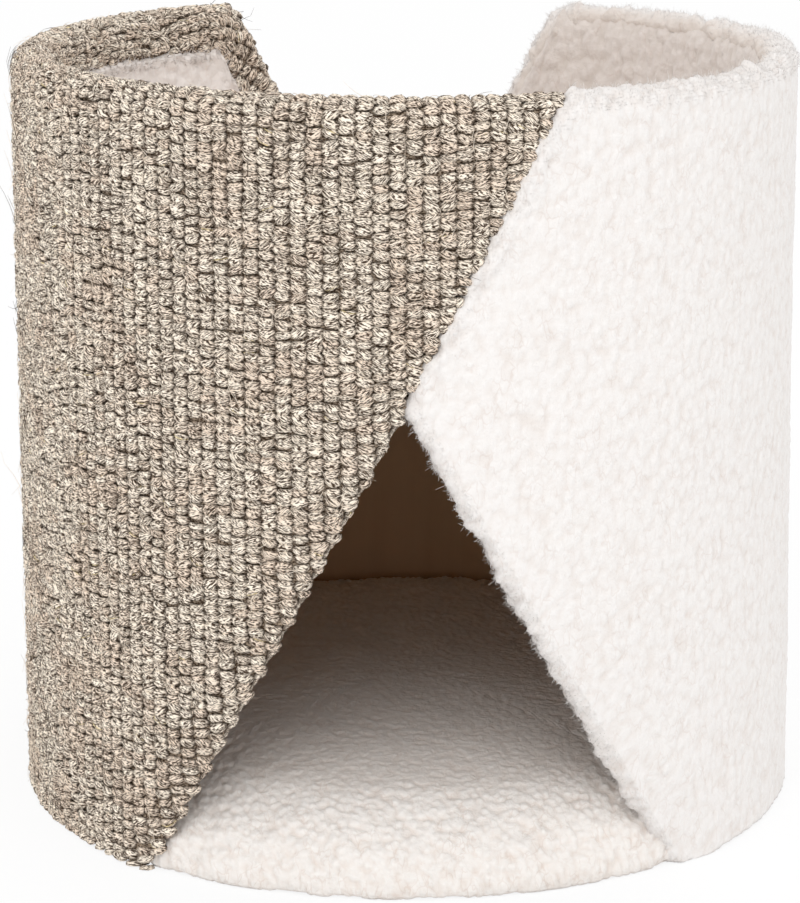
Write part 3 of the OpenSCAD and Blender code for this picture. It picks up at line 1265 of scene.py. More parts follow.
    def trimmed(self, angle: Array, level: Array, half: Array) -> tuple[Array, Array]:
        """Draws strands in where they would pass a seam, so that the sheet ends along a straight line.

        The ends lie half a width either way; where one is past the seam, the strand keeps the share on its own side
        and moves there.

        Args:
            angle: angles of the strands.
            level: levels on the flat sheet.
            half: half widths.

        Returns:
            The new angles and half widths.
        """
        d = self.drum
        behind = np.cos(angle) < 0
        seam = np.where(behind, level < d.notch_floor - self.flap_past, level > d.entrance_h - 0.002)
        radius, z = self.jacket.over_rim(level, self.loop_reach)
        left, right = (
            d.past_seam(on_ring(angle + side * half / radius, radius, z), Cover.SISAL) for side in (-1.0, 1.0)
        )
        width = np.maximum(np.abs(left - right), SMALL)
        keep_right = np.where(seam & (right < 0), np.clip(left / width, 0.0, 1.0), 1.0)
        keep_left = np.where(seam & (left < 0), np.clip(right / width, 0.0, 1.0), 1.0)
        return angle + half * (keep_right - keep_left) / radius, half * np.maximum(keep_left + keep_right - 1.0, 0.0)

    def loop_set(self) -> Loops:
        """Sizes and frames of the loops, uneven about their middle values.

        A loop's frame comes from the slope of the wrap at its own place. Where an end would pass a seam or a fold,
        that side is drawn in; the last row of a turned-in strip sinks under the lining.

        Returns:
            The loops that are part of the cover.
        """
        s = self.spread
        rng = np.random.default_rng(self.seed + 1)
        angle, level = self.loop_places()

        def uneven(middle: float, spread: float) -> Array:
            """Random sizes about a middle value, one for each loop."""
            drawn = rng.standard_normal(len(angle)).clip(-s.limit, s.limit)
            return middle * (1.0 + spread * drawn)

        full = uneven(self.rib_pitch * self.rib_fill, s.half)
        angle, half = self.trimmed(angle, level, full)
        place = self.jacket.fold(angle, level)
        rise = uneven(self.loop_rise, s.rise) * place.thin * (0.6 + 0.4 * half / full)
        rise = rise * (0.5 + 0.5 * soft_step((place.left + 0.001) / 0.003))
        sag = uneven(self.sag, s.sag) * np.clip(level / 0.01, 0.1, 1.0)
        twist = np.pi * uneven(self.half_turns, s.twist)
        twist = twist * np.where(rng.random(len(angle)) < self.right_laid, 1.0, -1.0)
        tilt = uneven(1.0, s.tilt) - 1.0
        streak = Noise.smooth(np.stack([angle * 0.5, level * 3.0, 0.0 * angle], -1), 0.06, 41)
        tone = uneven(self.mean_tone, s.tone) + self.streak_tone * (streak - 0.5)
        kept = self.inside(place, self.loop_reach, self.seam_room, -self.flap_past, self.seam_room)
        kept = kept & (half > self.loop_least * full)
        angle, level, half, rise, sag, twist, tilt, tone = (
            v[kept] for v in (angle, level, half, rise, sag, twist, tilt, tone)
        )
        base, out, here = place.base[kept], place.normal[kept], place.cut[kept]
        base = base + (self.loop_seat * self.padding * place.thin[kept])[:, None] * out
        above, below = (self.jacket.fold(angle, level + step).base for step in (self.probe, -self.probe))
        ahead = above - below
        up = unit(ahead - (ahead * out).sum(-1, keepdims=True) * out)
        reach = self.drum.mid_wall + self.stand
        rear = np.cos(angle) < 0
        slack = np.where(rear, *self.fold_slack)

        def drawn_in(side: float) -> Array:
            """Share of the half width that fits before a fold on one side.

            Args:
                side: -1 or 1.

            Returns:
                The share for each loop.
            """
            over = self.jacket.past_cut(reach * np.sin(angle + side * half / reach), level, rear)[0] - slack
            share = np.where(over > 0, 1.0 - over / np.maximum(over + slack - here, SMALL), 1.0)
            return np.where(here > 0, 1.0, np.clip(share, self.side_least, 1.0))

        axes = np.stack([np.cross(up, out), up, out], 1)
        log.info("sisal loops: %d", len(angle))
        return Loops(angle, half, drawn_in(-1.0), drawn_in(1.0), rise, sag, twist, tilt, tone, base, axes)

    def wound(self, loops: Loops, yarn: Yarn) -> list[Piece]:
        """The tubes of one kind in all loops, with both ends in the backing.

        A loop's path goes along minus half a width times the cosine and up by the rise times a power of the sine of
        the same angle, and sags a little. A tube is plump in the middle of the way; a strand lies off the path by an
        offset that turns on the way, so that strands wind round the core.

        Args:
            loops: the loops.
            yarn: the kind of tube.

        Returns:
            The pieces that the tubes are split into.
        """
        s = self.spread
        rng = np.random.default_rng(self.seed + yarn.sides)
        count = len(loops.angle)
        tubes = (count, yarn.strands)
        half, less, more, rise, sag, twist, tilt = (
            v[:, None, None, None]
            for v in (loops.half, loops.less, loops.more, loops.rise, loops.sag, loops.twist, loops.tilt)
        )

        def uneven(spread: float) -> Array:
            """Random shares about 1, one for each tube."""
            return 1.0 + spread * rng.standard_normal((*tubes, 1, 1)).clip(-s.limit, s.limit)

        # Rings along each loop, in its own frame
        turn = (np.pi * (np.arange(yarn.rings) + 1.0) / (yarn.rings + 1.0))[:, None]
        around = np.linspace(-yarn.under, np.pi + yarn.under, yarn.sides)
        plump = np.sin(turn) ** 0.5
        wind = twist * (turn / np.pi - 0.5)
        lay = rng.uniform(*yarn.lay, (*tubes, 1, 1)) * np.pi + wind
        across = yarn.wide * uneven(s.strand) * plump * np.cos(around)
        lifted = plump * (yarn.deep * uneven(s.strand) * np.sin(around) + yarn.off_deep * np.sin(lay))
        run_u, run_h = half * np.sin(turn), 0.7 * rise * np.cos(turn) * np.sin(turn) ** -0.3
        size = np.hypot(run_u, run_h)
        local_u = -half * np.cos(turn) - lifted * run_h / size
        local_u = np.where(local_u < 0, local_u * less, local_u * more)
        local_h = rise * np.sin(turn) ** 0.7 + lifted * run_u / size
        local_v = across + yarn.off_wide * plump * np.cos(lay) - sag * np.sin(turn) + tilt * local_u
        ring = np.stack(np.broadcast_arrays(local_u, local_v, local_h), -1).reshape(*tubes, -1, 3)
        first, last = np.zeros((2, *tubes, 1, 3))
        first[..., 0], last[..., 0] = (-half * less)[..., 0], (half * more)[..., 0]
        local = np.concatenate([first, ring, last], axis=2)
        points = loops.base[:, None, None] + (local[..., None] * loops.axes[:, None, None]).sum(-2)
        points[..., 2] = np.maximum(points[..., 2], self.low_yarn)

        # Places along the yarn, painted light and shade, and tone for its finish
        run = 1.3 * half * (turn - np.pi / 2.0)
        lie = yarn.wide * (around - wind)
        marks = np.stack(np.broadcast_arrays(run, lie, 0.0 * across), -1).reshape(ring.shape)
        marks = np.concatenate([first, marks, last], axis=2) + rng.uniform(0.0, 3.0, (*tubes, 1, 3))
        # Painted shade: lit falls towards each tube's roots and its flanks and underside, and goes to the material as
        # rise
        lit = np.sin(turn) ** 1.1 * (yarn.flank + (1.0 - yarn.flank) * np.maximum(np.sin(around), 0.0))
        lit = np.tile(np.pad(lit.ravel(), 1), (*tubes, 1))
        tone = np.clip(loops.tone[:, None] + s.strand_tone * rng.standard_normal(tubes), 0.0, self.most_tone)
        tone = np.where(rng.random(tubes) < self.straw_share * (yarn.off_wide > 0), 1.0, tone)

        pieces = []
        for part, share in enumerate(np.array_split(np.argsort(loops.angle), yarn.pieces)):
            faces = tiled(yarn.faces(), len(share) * yarn.strands, yarn.each)
            values = {
                "yarn": marks[share].reshape(-1, 3),
                "tone": np.repeat(tone[share].ravel(), yarn.each),
                # rise: the painted light share of each point
                "rise": lit[share].ravel(),
            }
            name = f"sisal_{yarn.name}_{part + 1}"
            pieces.append(make_piece(name, points[share], faces, "sisal", self.look, **values))
        return pieces

    def fibres(self) -> Piece:
        """The loose fibres, as thin three-sided tubes.

        A path is a shallow arc on the flat sheet, lifted by the square of the way along it, and carried through
        the wrap; its section is a triangle that thins towards the end.

        Returns:
            The piece.
        """
        f = self.fibre
        rng = np.random.default_rng(self.seed + 2)
        angle = rng.uniform(*self.angles, f.count)
        level = rng.uniform(f.lowest, self.jacket.top, f.count)
        place = self.jacket.fold(angle, level)
        kept = self.inside(place, f.reach, f.seam_gap, 0.0, -self.slip)
        near_edge = np.abs(place.cut - f.edge_at) < f.edge_wide
        angle, level, near_edge = angle[kept], level[kept], near_edge[kept]
        count = len(angle)
        way = rng.uniform(0.0, 2.0 * np.pi, count)[:, None]
        tall = rng.random(count) < f.long_share
        length = np.where(tall, rng.uniform(*f.long, count), rng.uniform(*f.short, count))[:, None]
        t = np.linspace(0.0, 1.0, f.steps)[None]
        bow = rng.normal(0.0, f.bow, count)[:, None] * length * t * t
        lift = rng.exponential(f.lift, count)[:, None] * np.where(near_edge, f.edge_lift, 1.0)[:, None]
        flat_u = length * t * np.cos(way) - bow * np.sin(way)
        flat_v = length * t * np.sin(way) + bow * np.cos(way)
        ends = np.minimum(level[:, None] + flat_v, self.jacket.top)
        place = self.jacket.fold(angle[:, None] + flat_u / self.drum.radius, ends)
        lifted = np.minimum(lift * length * t * t, f.lift_most)
        height = (f.stand + f.arch * np.sin(np.pi * t)) * place.thin + lifted
        path = place.base + height[..., None] * place.normal
        path[..., 2] = np.maximum(path[..., 2], f.floor)
        points, faces = hair(path, place.normal, f.thick * (1.0 - f.taper * t))
        values = {
            "yarn": points * 0.02,
            "tone": np.repeat(rng.uniform(*f.tones, count), f.steps * 3),
            # rise of 1: no painted shade on the loose fibres
            "rise": np.ones(len(points)),
        }
        return make_piece("sisal_fibres", points, faces, "sisal", self.look, **values)

    def build(self) -> None:
        backing, flat, area = self.backing()
        loops = self.loop_set()
        others = [*self.wound(loops, self.core), *self.wound(loops, self.strand), self.fibres()]
        log.info("sisal sheet %.3f x %.3f m, %.4f m2", *flat, area)


@dataclass
class PlushCover:
    """The sheet of curly plush on the right of the drum, in a front and a rear length."""

    drum: Drum
    look: Material
    thick: float = 0.0060
    curl: float = 0.0016
    tuft: float = 0.0042
    stand: float = 0.0030
    step: float = 0.00135
    angles: Pair = (math.radians(-20.0), math.radians(200.0))
    split: float = math.radians(96.0)
    hem: float = 0.006
    foot_round: float = 0.0013
    end_round: float = 0.005
    mitre_round: float = 0.003
    pad_top: float = 0.044
    foot_thick: float = 0.003
    lump: float = 0.0009
    wave: float = 0.0085
    ragged: Pair = (0.0012, 0.0032)
    ragged_size: float = 0.0080
    ragged_wide: float = 0.012
    seam_lift: float = 0.004
    lump_size: float = 0.024
    wave_sizes: Pair = (0.0078, 0.0043)
    free_past: float = 0.006
    free_seam: float = 0.014
    free_curl: float = 1.4
    curl_sink: float = 0.45
    foot_high: float = 0.30
    fuzz_count: int = 9000
    fuzz_at: float = 0.009
    fuzz_wide: float = 0.0055
    fuzz_seam: float = 0.004
    jacket: Jacket = field(init=False)

    def __post_init__(self) -> None:
        """Sets up the wrap."""
        self.jacket = Jacket(
            self.drum,
            Cover.PLUSH,
            self.stand,
            entrance=EdgeFold(room=0.0065, face=0.0045, squash=0.7, way=0.028),
            notch=EdgeFold(room=0.0090, face=0.0062, squash=0.7, way=0.028),
            flare=0.008,
        )

    def seam_gap(self, place: Fold) -> Array:
        """Distance from the seam, with the edge there drawn out unevenly by a noise.

        Args:
            place: where the points land.

        Returns:
            The distances.
        """
        seam = self.drum.past_seam(place.base + self.seam_lift * place.normal, Cover.PLUSH)
        least, more = self.ragged
        drawn = least + more * Noise.smooth(place.base, self.ragged_size, 31)
        return seam + drawn * (1.0 - soft_step(seam / self.ragged_wide))

    def height(self, place: Fold, level: Array, seam: Array, curl: Array) -> Array:
        """Height of the pile before its edges fall: its thickness, the curls, slow lumps, and waves at the edges.

        Args:
            place: where the points land.
            level: heights on the flat sheet.
            seam: distances from the seam.
            curl: heights of the curls, from 0 to 1.

        Returns:
            The heights in metres.
        """
        face = place.base + self.thick * place.normal
        lump = Noise.smooth(face, self.lump_size, 23) - 0.5
        wide, fine = self.wave_sizes
        wave = 0.5 * Noise.smooth(face, wide, 37) + 0.5 * Noise.smooth(face, fine, 39) - 0.5
        free = np.maximum(soft_step(place.past / self.free_past), 1.0 - soft_step(seam / self.free_seam))
        low = self.foot_thick * (1.0 - soft_step(level / self.foot_high))
        curls = self.curl * curl * (1.0 + self.free_curl * free)
        return self.thick + low - self.curl_sink * self.curl + curls + self.lump * lump + self.wave * free * wave

    def fuzz(self, place: Fold, seam: Array, points: Array, stands: Array, tub: Array) -> Piece:
        """Loose fibres, crowded by bell curves about the folds and the seams.

        Args:
            place: where the points land.
            seam: distances from the seam.
            points: the pile's points.
            stands: True where the pile stands up.
            tub: True over the tub.

        Returns:
            The piece.
        """
        near = np.exp(-(((place.past - self.fuzz_at) / self.fuzz_wide) ** 2))
        near = near * np.where(tub, 0.7, 1.6) * (place.past > 0.0005)
        near = near + 0.5 * np.exp(-((seam / self.fuzz_seam) ** 2))
        near = np.where(stands, near.ravel(), 0.0)
        picked = np.random.default_rng(89).choice(len(points), self.fuzz_count, replace=False, p=near / near.sum())
        return Fuzz(self.look).grow("plush_fuzz", points[picked], place.normal.reshape(-1, 3)[picked])

    def build(self) -> None:
        """Wraps the flat sheet round the drum and lifts its face by the curls.

        The pile stands on the backing by its thickness plus the curls, times a quarter-circle rise at each free
        edge: the seams, the ends of the turned-in strips, their mitres and the foot. Over the tub it goes under the
        lining's edge.
        """
        d, top = self.drum, self.jacket.top
        columns = int(np.ptp(self.angles) * d.radius / self.step)
        rows = int((top - d.lift) / self.step)
        angle, level = np.meshgrid(np.linspace(*self.angles, columns), np.linspace(d.lift, top, rows))
        place = self.jacket.fold(angle, level)
        seam = self.seam_gap(place)
        x, y, z = np.moveaxis(place.base, -1, 0)
        inner = (np.hypot(x, y) < d.wall_in) & (place.cut > 0) & (z < d.platform_top)
        strip = np.where(inner, np.minimum(z - self.pad_top, d.platform_low - z), 1.0)
        tub = z > d.platform_top
        full = (
            round_edge(seam / self.hem)
            * np.where(tub, round_edge((1.04 - place.share) / 0.38), round_edge(place.left / self.end_round))
            * place.thin
            * round_edge((level - d.lift) / self.foot_round)
            * round_edge(place.slack / self.mitre_round)
            * round_edge(strip / self.mitre_round)
        )
        curl = Noise.curls(place.base + self.thick * place.normal, Pile.HANGING, self.tuft, 17)
        height = full * self.height(place, level, seam, curl)
        points = (place.base + height[..., None] * place.normal).reshape(-1, 3)
        points[:, 2] = np.maximum(points[:, 2], FLOOR_GAP)
        kept = (seam > -0.0008) & (place.slack > -0.0015) & (strip > -0.0012) & (place.left > -0.001)
        kept = kept & ((place.cut < 0) | (place.aim < 0.3)) & ~(tub & (place.share > 0.998))
        kept = kept.ravel()
        faces = grid_faces(rows, columns)
        faces = faces[kept[faces].all(axis=1)]
        middle = angle.ravel()[faces].mean(axis=1)
        fuzz = self.fuzz(place, seam, points, kept & (full.ravel() > 0.4), tub)
        # Painted shade: inner darkens the turned-in strips to the turned colour, and curl, low at the free edges,
        # darkens them to the crease colour
        values = {"curl": (curl * full).ravel(), "inner": soft_step((place.share - 0.45) / 0.4).ravel()}
        for name, part in (("plush_front", middle < self.split), ("plush_rear", middle >= self.split)):
            piece = make_piece(name, points, [faces[part]], "plush", self.look, **values)
            if name == "plush_front":
                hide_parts("plush_cover")


@dataclass
class TubLining:
    """The strip of plush round the inside of the lying tub, cut away behind the rear notch."""

    drum: Drum
    look: Material
    thick: float = 0.0062
    curl: float = 0.0022
    tuft: float = 0.0048
    columns: int = 800
    rows: int = 66
    rim_gap: float = 0.0080
    notch_gap: float = 0.0015
    foot_gap: float = 0.006
    foot_round: float = 0.002
    fuzz_count: int = 2400
    fuzz_zone: float = 0.006

    def edge(self, ring: Array, plush: Array) -> Array:
        """Height of the strip's upper edge, made uneven by two noises.

        Args:
            ring: points round the tub.
            plush: 1 on the plush side, 0 on the sisal side.

        Returns:
            The heights.
        """
        d = self.drum
        x, y = ring[..., 0], ring[..., 1]
        high = d.lining_high + plush * (d.height - d.lining_top - self.rim_gap)
        edge = d.lining_edge(x, y, np.where(x > 0, self.notch_gap, d.lining_grow), high)
        wave = 0.003 * (Noise.smooth(ring, 0.009, 61) - 0.5) + 0.0022 * (Noise.smooth(ring, 0.0032, 63) - 0.5)
        return edge + wave * (1.0 - 0.6 * plush)

    def build(self) -> None:
        """A cylinder whose upper edge falls along the notch's sides, lifted inwards by the curls.

        The height share goes from 0 at the platform to 1 at the upper edge. On the sisal side the edge lies on the
        turned-in strip, on the plush side it tapers out just under the rim.
        """
        d = self.drum
        turns = np.linspace(0.0, 2.0 * np.pi, self.columns, endpoint=False)
        angle, share = np.meshgrid(turns, np.linspace(0, 1, self.rows))
        ring, radial = on_ring(angle, d.lining_in, d.lining_top), on_ring(angle)
        plush = soft_step((d.past_seam(ring, Cover.PLUSH) + 0.011) / 0.012)
        low = d.platform_top + self.foot_gap
        edge = np.maximum(self.edge(ring, plush), low + 0.001)
        z = low + share * (edge - low)
        face = (d.wall_in - self.thick) * radial + z[..., None] * UP
        curl = Noise.curls(face, Pile.HANGING, self.tuft, 53)
        taper = 0.003 + 0.008 * plush
        full = round_edge((edge - z) / taper) * round_edge((z - low) / self.foot_round)
        full = full * round_edge((edge - low) / 0.012)
        free = (1.0 - plush) * (1.0 - soft_step((edge - z) / 0.012))
        height = full * (self.thick - 0.45 * self.curl + self.curl * curl * (1.5 + 1.2 * free - 0.2 * plush))
        points = (face + (self.thick - 0.0003 - height)[..., None] * radial).reshape(-1, 3)
        faces = grid_faces(self.rows, self.columns, ring=True)[:, ::-1]
        # Painted light: the lining's left side and upper part lighter, by the inner attribute and the cream plush's
        # turned colour
        painted_light_share = soft_step((0.02 - ring[..., 0]) / 0.12) * (0.35 + 0.65 * soft_step((share - 0.3) / 0.7))
        values = {"curl": (curl * full).ravel(), "inner": painted_light_share.ravel()}
        piece = make_piece("tub_lining_plush", points, [faces], "plush", self.look, **values)
        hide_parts("tub_lining")
        near = np.where((edge - z < self.fuzz_zone) & (share < 0.99) & (plush < 0.3), 1.0, 0.0).ravel()
        picked = np.random.default_rng(91).choice(near.size, self.fuzz_count, p=near / near.sum())
        outwards = unit((0.8 * UP - radial).reshape(-1, 3)[picked])
        # Painted light on the lining's fuzz as well, through its inner share
        fibres = Fuzz(self.look, length=(0.0016, 0.0038), thick=0.00019, seed=87, inner=0.9)
        fuzz = fibres.grow("lining_fuzz", points[picked], outwards)


@dataclass
class Pad:
    """A padded floor: foam under plush, simulated as an inflated cloth and then covered with curls."""

    drum: Drum
    look: Material
    points: int
    coarse: tuple[int, int] = (72, 30)
    first_step: float = 0.04
    pressure: float = 4.0
    frames: int = 18
    puff: float = 0.003
    curl: float = 0.0024
    tuft: float = 0.0031
    lump: float = 0.0016
    seed: int = 71
    held_from: float = 0.86
    wave: float = 0.0

    def shape(self, angle: Array, way: Array) -> Array:
        """Points of the smooth pad for an angle from the front and a way from the crown to the foot."""
        raise NotImplementedError

    def curl_share(self, way: Array) -> Array:
        """How much of the curls shows at each point."""
        return round_edge((1.0 - way) / 0.03)

    def cloth(self, start: Array) -> Piece:
        """Coarse cloth of the pad: a grid of rays by steps, joined round the axis and closed at the crown.

        Args:
            start: the grid's points.

        Returns:
            The object that is simulated.
        """
        rays, steps = start.shape[:2]
        crown = start[:, 0].mean(axis=0, keepdims=True)
        rim = np.arange(rays) * steps
        fan = np.stack([np.full(rays, rays * steps), np.roll(rim, -1), rim], -1)
        last, first = rim[-1] + np.arange(steps - 1), np.arange(steps - 1)
        seam = np.stack([last, last + 1, first + 1, first], -1)
        faces = [*np.concatenate([grid_faces(rays, steps), seam])[:, ::-1].tolist(), *fan.tolist()]
        mesh = bpy.data.meshes.new("pad_cloth")
        mesh.from_pydata(np.concatenate([start.reshape(-1, 3), crown]).tolist(), [], faces)
        mesh.update()
        pad = bpy.data.objects.new("pad_cloth", mesh)
        bpy.context.scene.collection.objects.link(pad)
        return pad

    def swelling(self) -> Array:
        """Inflates a coarse copy of the pad with Blender's cloth and returns how far each point moves.

        Returns:
            Moves of the coarse grid's points, rays by steps, scaled so that the largest is the puff.
        """
        rays, steps = self.coarse
        turns = np.linspace(-np.pi, np.pi, rays, endpoint=False)
        angle, way = np.meshgrid(turns, np.linspace(self.first_step, 1.0, steps), indexing="ij")
        start = self.shape(angle, way)
        pad = self.cloth(start)
        held = pad.vertex_groups.new(name="held")
        held.add(np.flatnonzero(np.append((way > self.held_from).ravel(), False)).tolist(), 1.0, "REPLACE")
        cloth = pad.modifiers.new("cloth", "CLOTH")
        cloth.settings.use_pressure = True
        cloth.settings.uniform_pressure_force = self.pressure
        cloth.settings.effector_weights.gravity = 0.0
        cloth.settings.vertex_group_mass = "held"
        cloth.settings.quality = 6
        scene = bpy.context.scene
        for number in range(self.frames):
            scene.frame_set(number + 1)
        done = pad.evaluated_get(bpy.context.evaluated_depsgraph_get()).to_mesh()
        flat = np.empty(len(done.vertices) * 3, dtype=np.float32)
        done.vertices.foreach_get("co", flat)
        moves = flat.reshape(-1, 3)[:-1].reshape(start.shape) - start
        far = float(np.linalg.norm(moves, axis=-1).max())
        scene.frame_set(1)
        bpy.data.meshes.remove(pad.data)
        log.info("pad simulated: moved up to %.1f mm, of which %.1f kept", 1000.0 * far, 1000.0 * min(far, self.puff))
        return moves * min(1.0, self.puff / max(far, SMALL))

    def swollen(self, angle: Array, way: Array) -> Array:
        """Points of the smooth pad with the coarse grid's swelling blended in between its rays and steps.

        Args:
            angle: angle from the front.
            way: 0 at the crown, 1 at the foot.

        Returns:
            The points.
        """
        rays, steps = self.coarse
        smooth, moves = self.shape(angle, way), self.swelling()
        at_ray = (angle + np.pi) / (2.0 * np.pi) * rays
        at_step = np.clip((way - self.first_step) / (1.0 - self.first_step), 0.0, 1.0) * (steps - 1)
        low_r, low_s = np.floor(at_ray).astype(int), np.minimum(np.floor(at_step).astype(int), steps - 2)
        part_r, part_s = (at_ray - low_r)[..., None], (at_step - low_s)[..., None]
        for turn, share_r in ((0, 1.0 - part_r), (1, part_r)):
            for jump, share_s in ((0, 1.0 - part_s), (1, part_s)):
                smooth = smooth + share_r * share_s * moves[(low_r + turn) % rays, low_s + jump]
        return smooth

    def build(self, name: str, *nodes: str) -> Piece:
        """Builds the closed, curly pad.

        The fine grid takes the smooth, swollen shape and the curls along the surface's own normal; the foot closes
        in one point. The grid is a square whose rings are drawn out to circles, so that the crown has no pole.

        Args:
            name: the piece's name.
            nodes: the CAD nodes that it stands for.

        Returns:
            The piece.
        """
        side = np.linspace(-1.0, 1.0, self.points)
        across, front = np.meshgrid(side, side, indexing="ij")
        way = np.maximum(np.abs(across), np.abs(front))
        ratio = np.minimum(np.abs(across), np.abs(front)) / np.maximum(way, SMALL) * np.pi / 4.0
        angle = np.where(np.abs(front) >= np.abs(across), ratio, np.pi / 2.0 - ratio)
        angle = np.where(front < 0, np.pi - angle, angle) * np.where(across < 0, -1.0, 1.0)
        smooth = self.swollen(angle, way)
        normal = unit(np.cross(np.gradient(smooth, axis=1), np.gradient(smooth, axis=0)))
        curl = Noise.curls(smooth, Pile.STANDING, self.tuft, self.seed)
        lump = Noise.smooth(smooth, 0.03, self.seed + 7) - 0.5
        share = self.curl_share(way)
        swell = self.wave * soft_step((way - 0.7) / 0.15) * (Noise.smooth(smooth, 0.0085, self.seed + 9) - 0.4)
        points = smooth + (share * (self.curl * (curl - 0.5) + self.lump * lump + swell))[..., None] * normal
        points[..., 2] = np.maximum(points[..., 2], FLOOR_GAP)
        count = self.points**2
        index = np.arange(count).reshape(self.points, self.points)
        rim = np.concatenate([index[0], index[1:, -1], index[-1, -2::-1], index[-2:0:-1, 0]])
        foot = points.reshape(-1, 3)[rim].mean(axis=0, keepdims=True)
        under = np.stack([np.roll(rim, -1), rim, np.full(len(rim), count)], -1)
        closed = np.concatenate([points.reshape(-1, 3), foot])
        faces = [grid_faces(self.points, self.points), under]
        # Painted shade: the crease colour follows this curl value, lower where the curls are flattened
        shown = np.append((0.15 + 0.85 * share) * curl, 0.5)
        piece = make_piece(name, closed, faces, "plush", self.look, curl=shown)
        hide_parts(*nodes)
        return piece


@dataclass
class DenPad(Pad):
    """The den's floor: a crowned pad that falls to the entrance and is drawn down over the base's front edge."""

    crown: float = 0.027
    wall_side: float = 0.019
    pile: float = 0.0068
    front: float = math.radians(40.8)
    fall_from: float = math.radians(40.15)
    fall_wide: float = math.radians(30.0)
    lip_wide: float = math.radians(2.6)
    lip_past: float = 0.0012
    flat_part: float = 0.074
    top_end: float = 0.93
    foot_in: float = 0.02

    def shape(self, angle: Array, way: Array) -> Array:
        """Crown, fall and lip of the pad.

        The radius is the reach times a blend of the way and its sine, so that points crowd at the side. Towards the
        entrance the height follows a flattened ellipse from the crown to the floor, towards the wall the seventh
        power of the radius; a soft step over the angle blends the two. The reach is the wall's inside, or past the
        base's front edge in the entrance.

        Args:
            angle: angle from the front.
            way: 0 at the crown, 1 at the foot.

        Returns:
            The points.
        """
        d = self.drum
        off = np.abs(angle)
        open_share = 1.0 - soft_step((off - self.fall_from) / self.fall_wide)
        lip = 1.0 - soft_step((off - self.front) / self.lip_wide + 0.5)
        far = d.radius + self.lip_past
        reach = d.wall_in - 0.0006 + lip * (far - d.wall_in)
        t = np.clip(way / self.top_end, 0.0, 1.0)
        radius = reach * (0.4 * t + 0.6 * np.sin(0.5 * np.pi * t))
        high = d.base_top + 0.0003 + self.pile + self.crown
        span = np.where(lip > 0.5, reach, far) - self.flat_part
        out = np.clip((radius - self.flat_part) / span, 0.0, 1.0)
        fall = 0.0008 + (high - 0.0008) * np.sqrt(1.0 - out**2.4)
        share = np.clip((radius / d.wall_in - 0.42) / 0.58, 0.0, 1.1)
        level = high - (self.crown - self.wall_side) * share**7
        z = open_share * fall + (1.0 - open_share) * level
        foot = (1.0 - lip) * (d.base_top + 0.0005) + lip * 0.0006
        drop = np.clip((way - self.top_end) / (1.0 - self.top_end), 0.0, 1.0)
        z = z + drop * (np.minimum(foot, z) - z)
        return on_ring(angle, radius - self.foot_in * lip * drop, z)

    def curl_share(self, way: Array) -> Array:
        """Curls everywhere but on the hidden foot, flatter where the floor is trodden."""
        return round_edge((0.94 - way) / 0.02) * (0.55 + 0.5 * soft_step((way - 0.55) / 0.2))


@dataclass
class TubPad(Pad):
    """The tub's floor: a flat pad with a soft edge inside the lining."""

    crown: float = 0.014
    wall_side: float = 0.008
    pile: float = 0.0068
    edge: float = 0.006
    top_end: float = 0.86
    edge_way: float = 0.08
    drop_way: float = 0.06

    def shape(self, angle: Array, way: Array) -> Array:
        """Crown and soft edge: the height falls with the eighth power of the radius, then by a quarter circle.

        Args:
            angle: angle from the front.
            way: 0 at the crown, 1 at the foot.

        Returns:
            The points.
        """
        d = self.drum
        t = np.clip(way / self.top_end, 0.0, 1.0)
        radius = (d.lining_in + 0.001 - self.edge) * t
        z = d.platform_top + self.pile + self.crown - (self.crown - self.wall_side) * t**8
        turn = np.clip((way - self.top_end) / self.edge_way, 0.0, 1.0) * np.pi / 2.0
        z = z - self.edge * (1.0 - np.cos(turn))
        drop = np.clip((way - self.top_end - self.edge_way) / self.drop_way, 0.0, 1.0)
        z = z + drop * (d.platform_top + 0.0004 - z)
        return on_ring(angle, radius + self.edge * np.sin(turn), z)


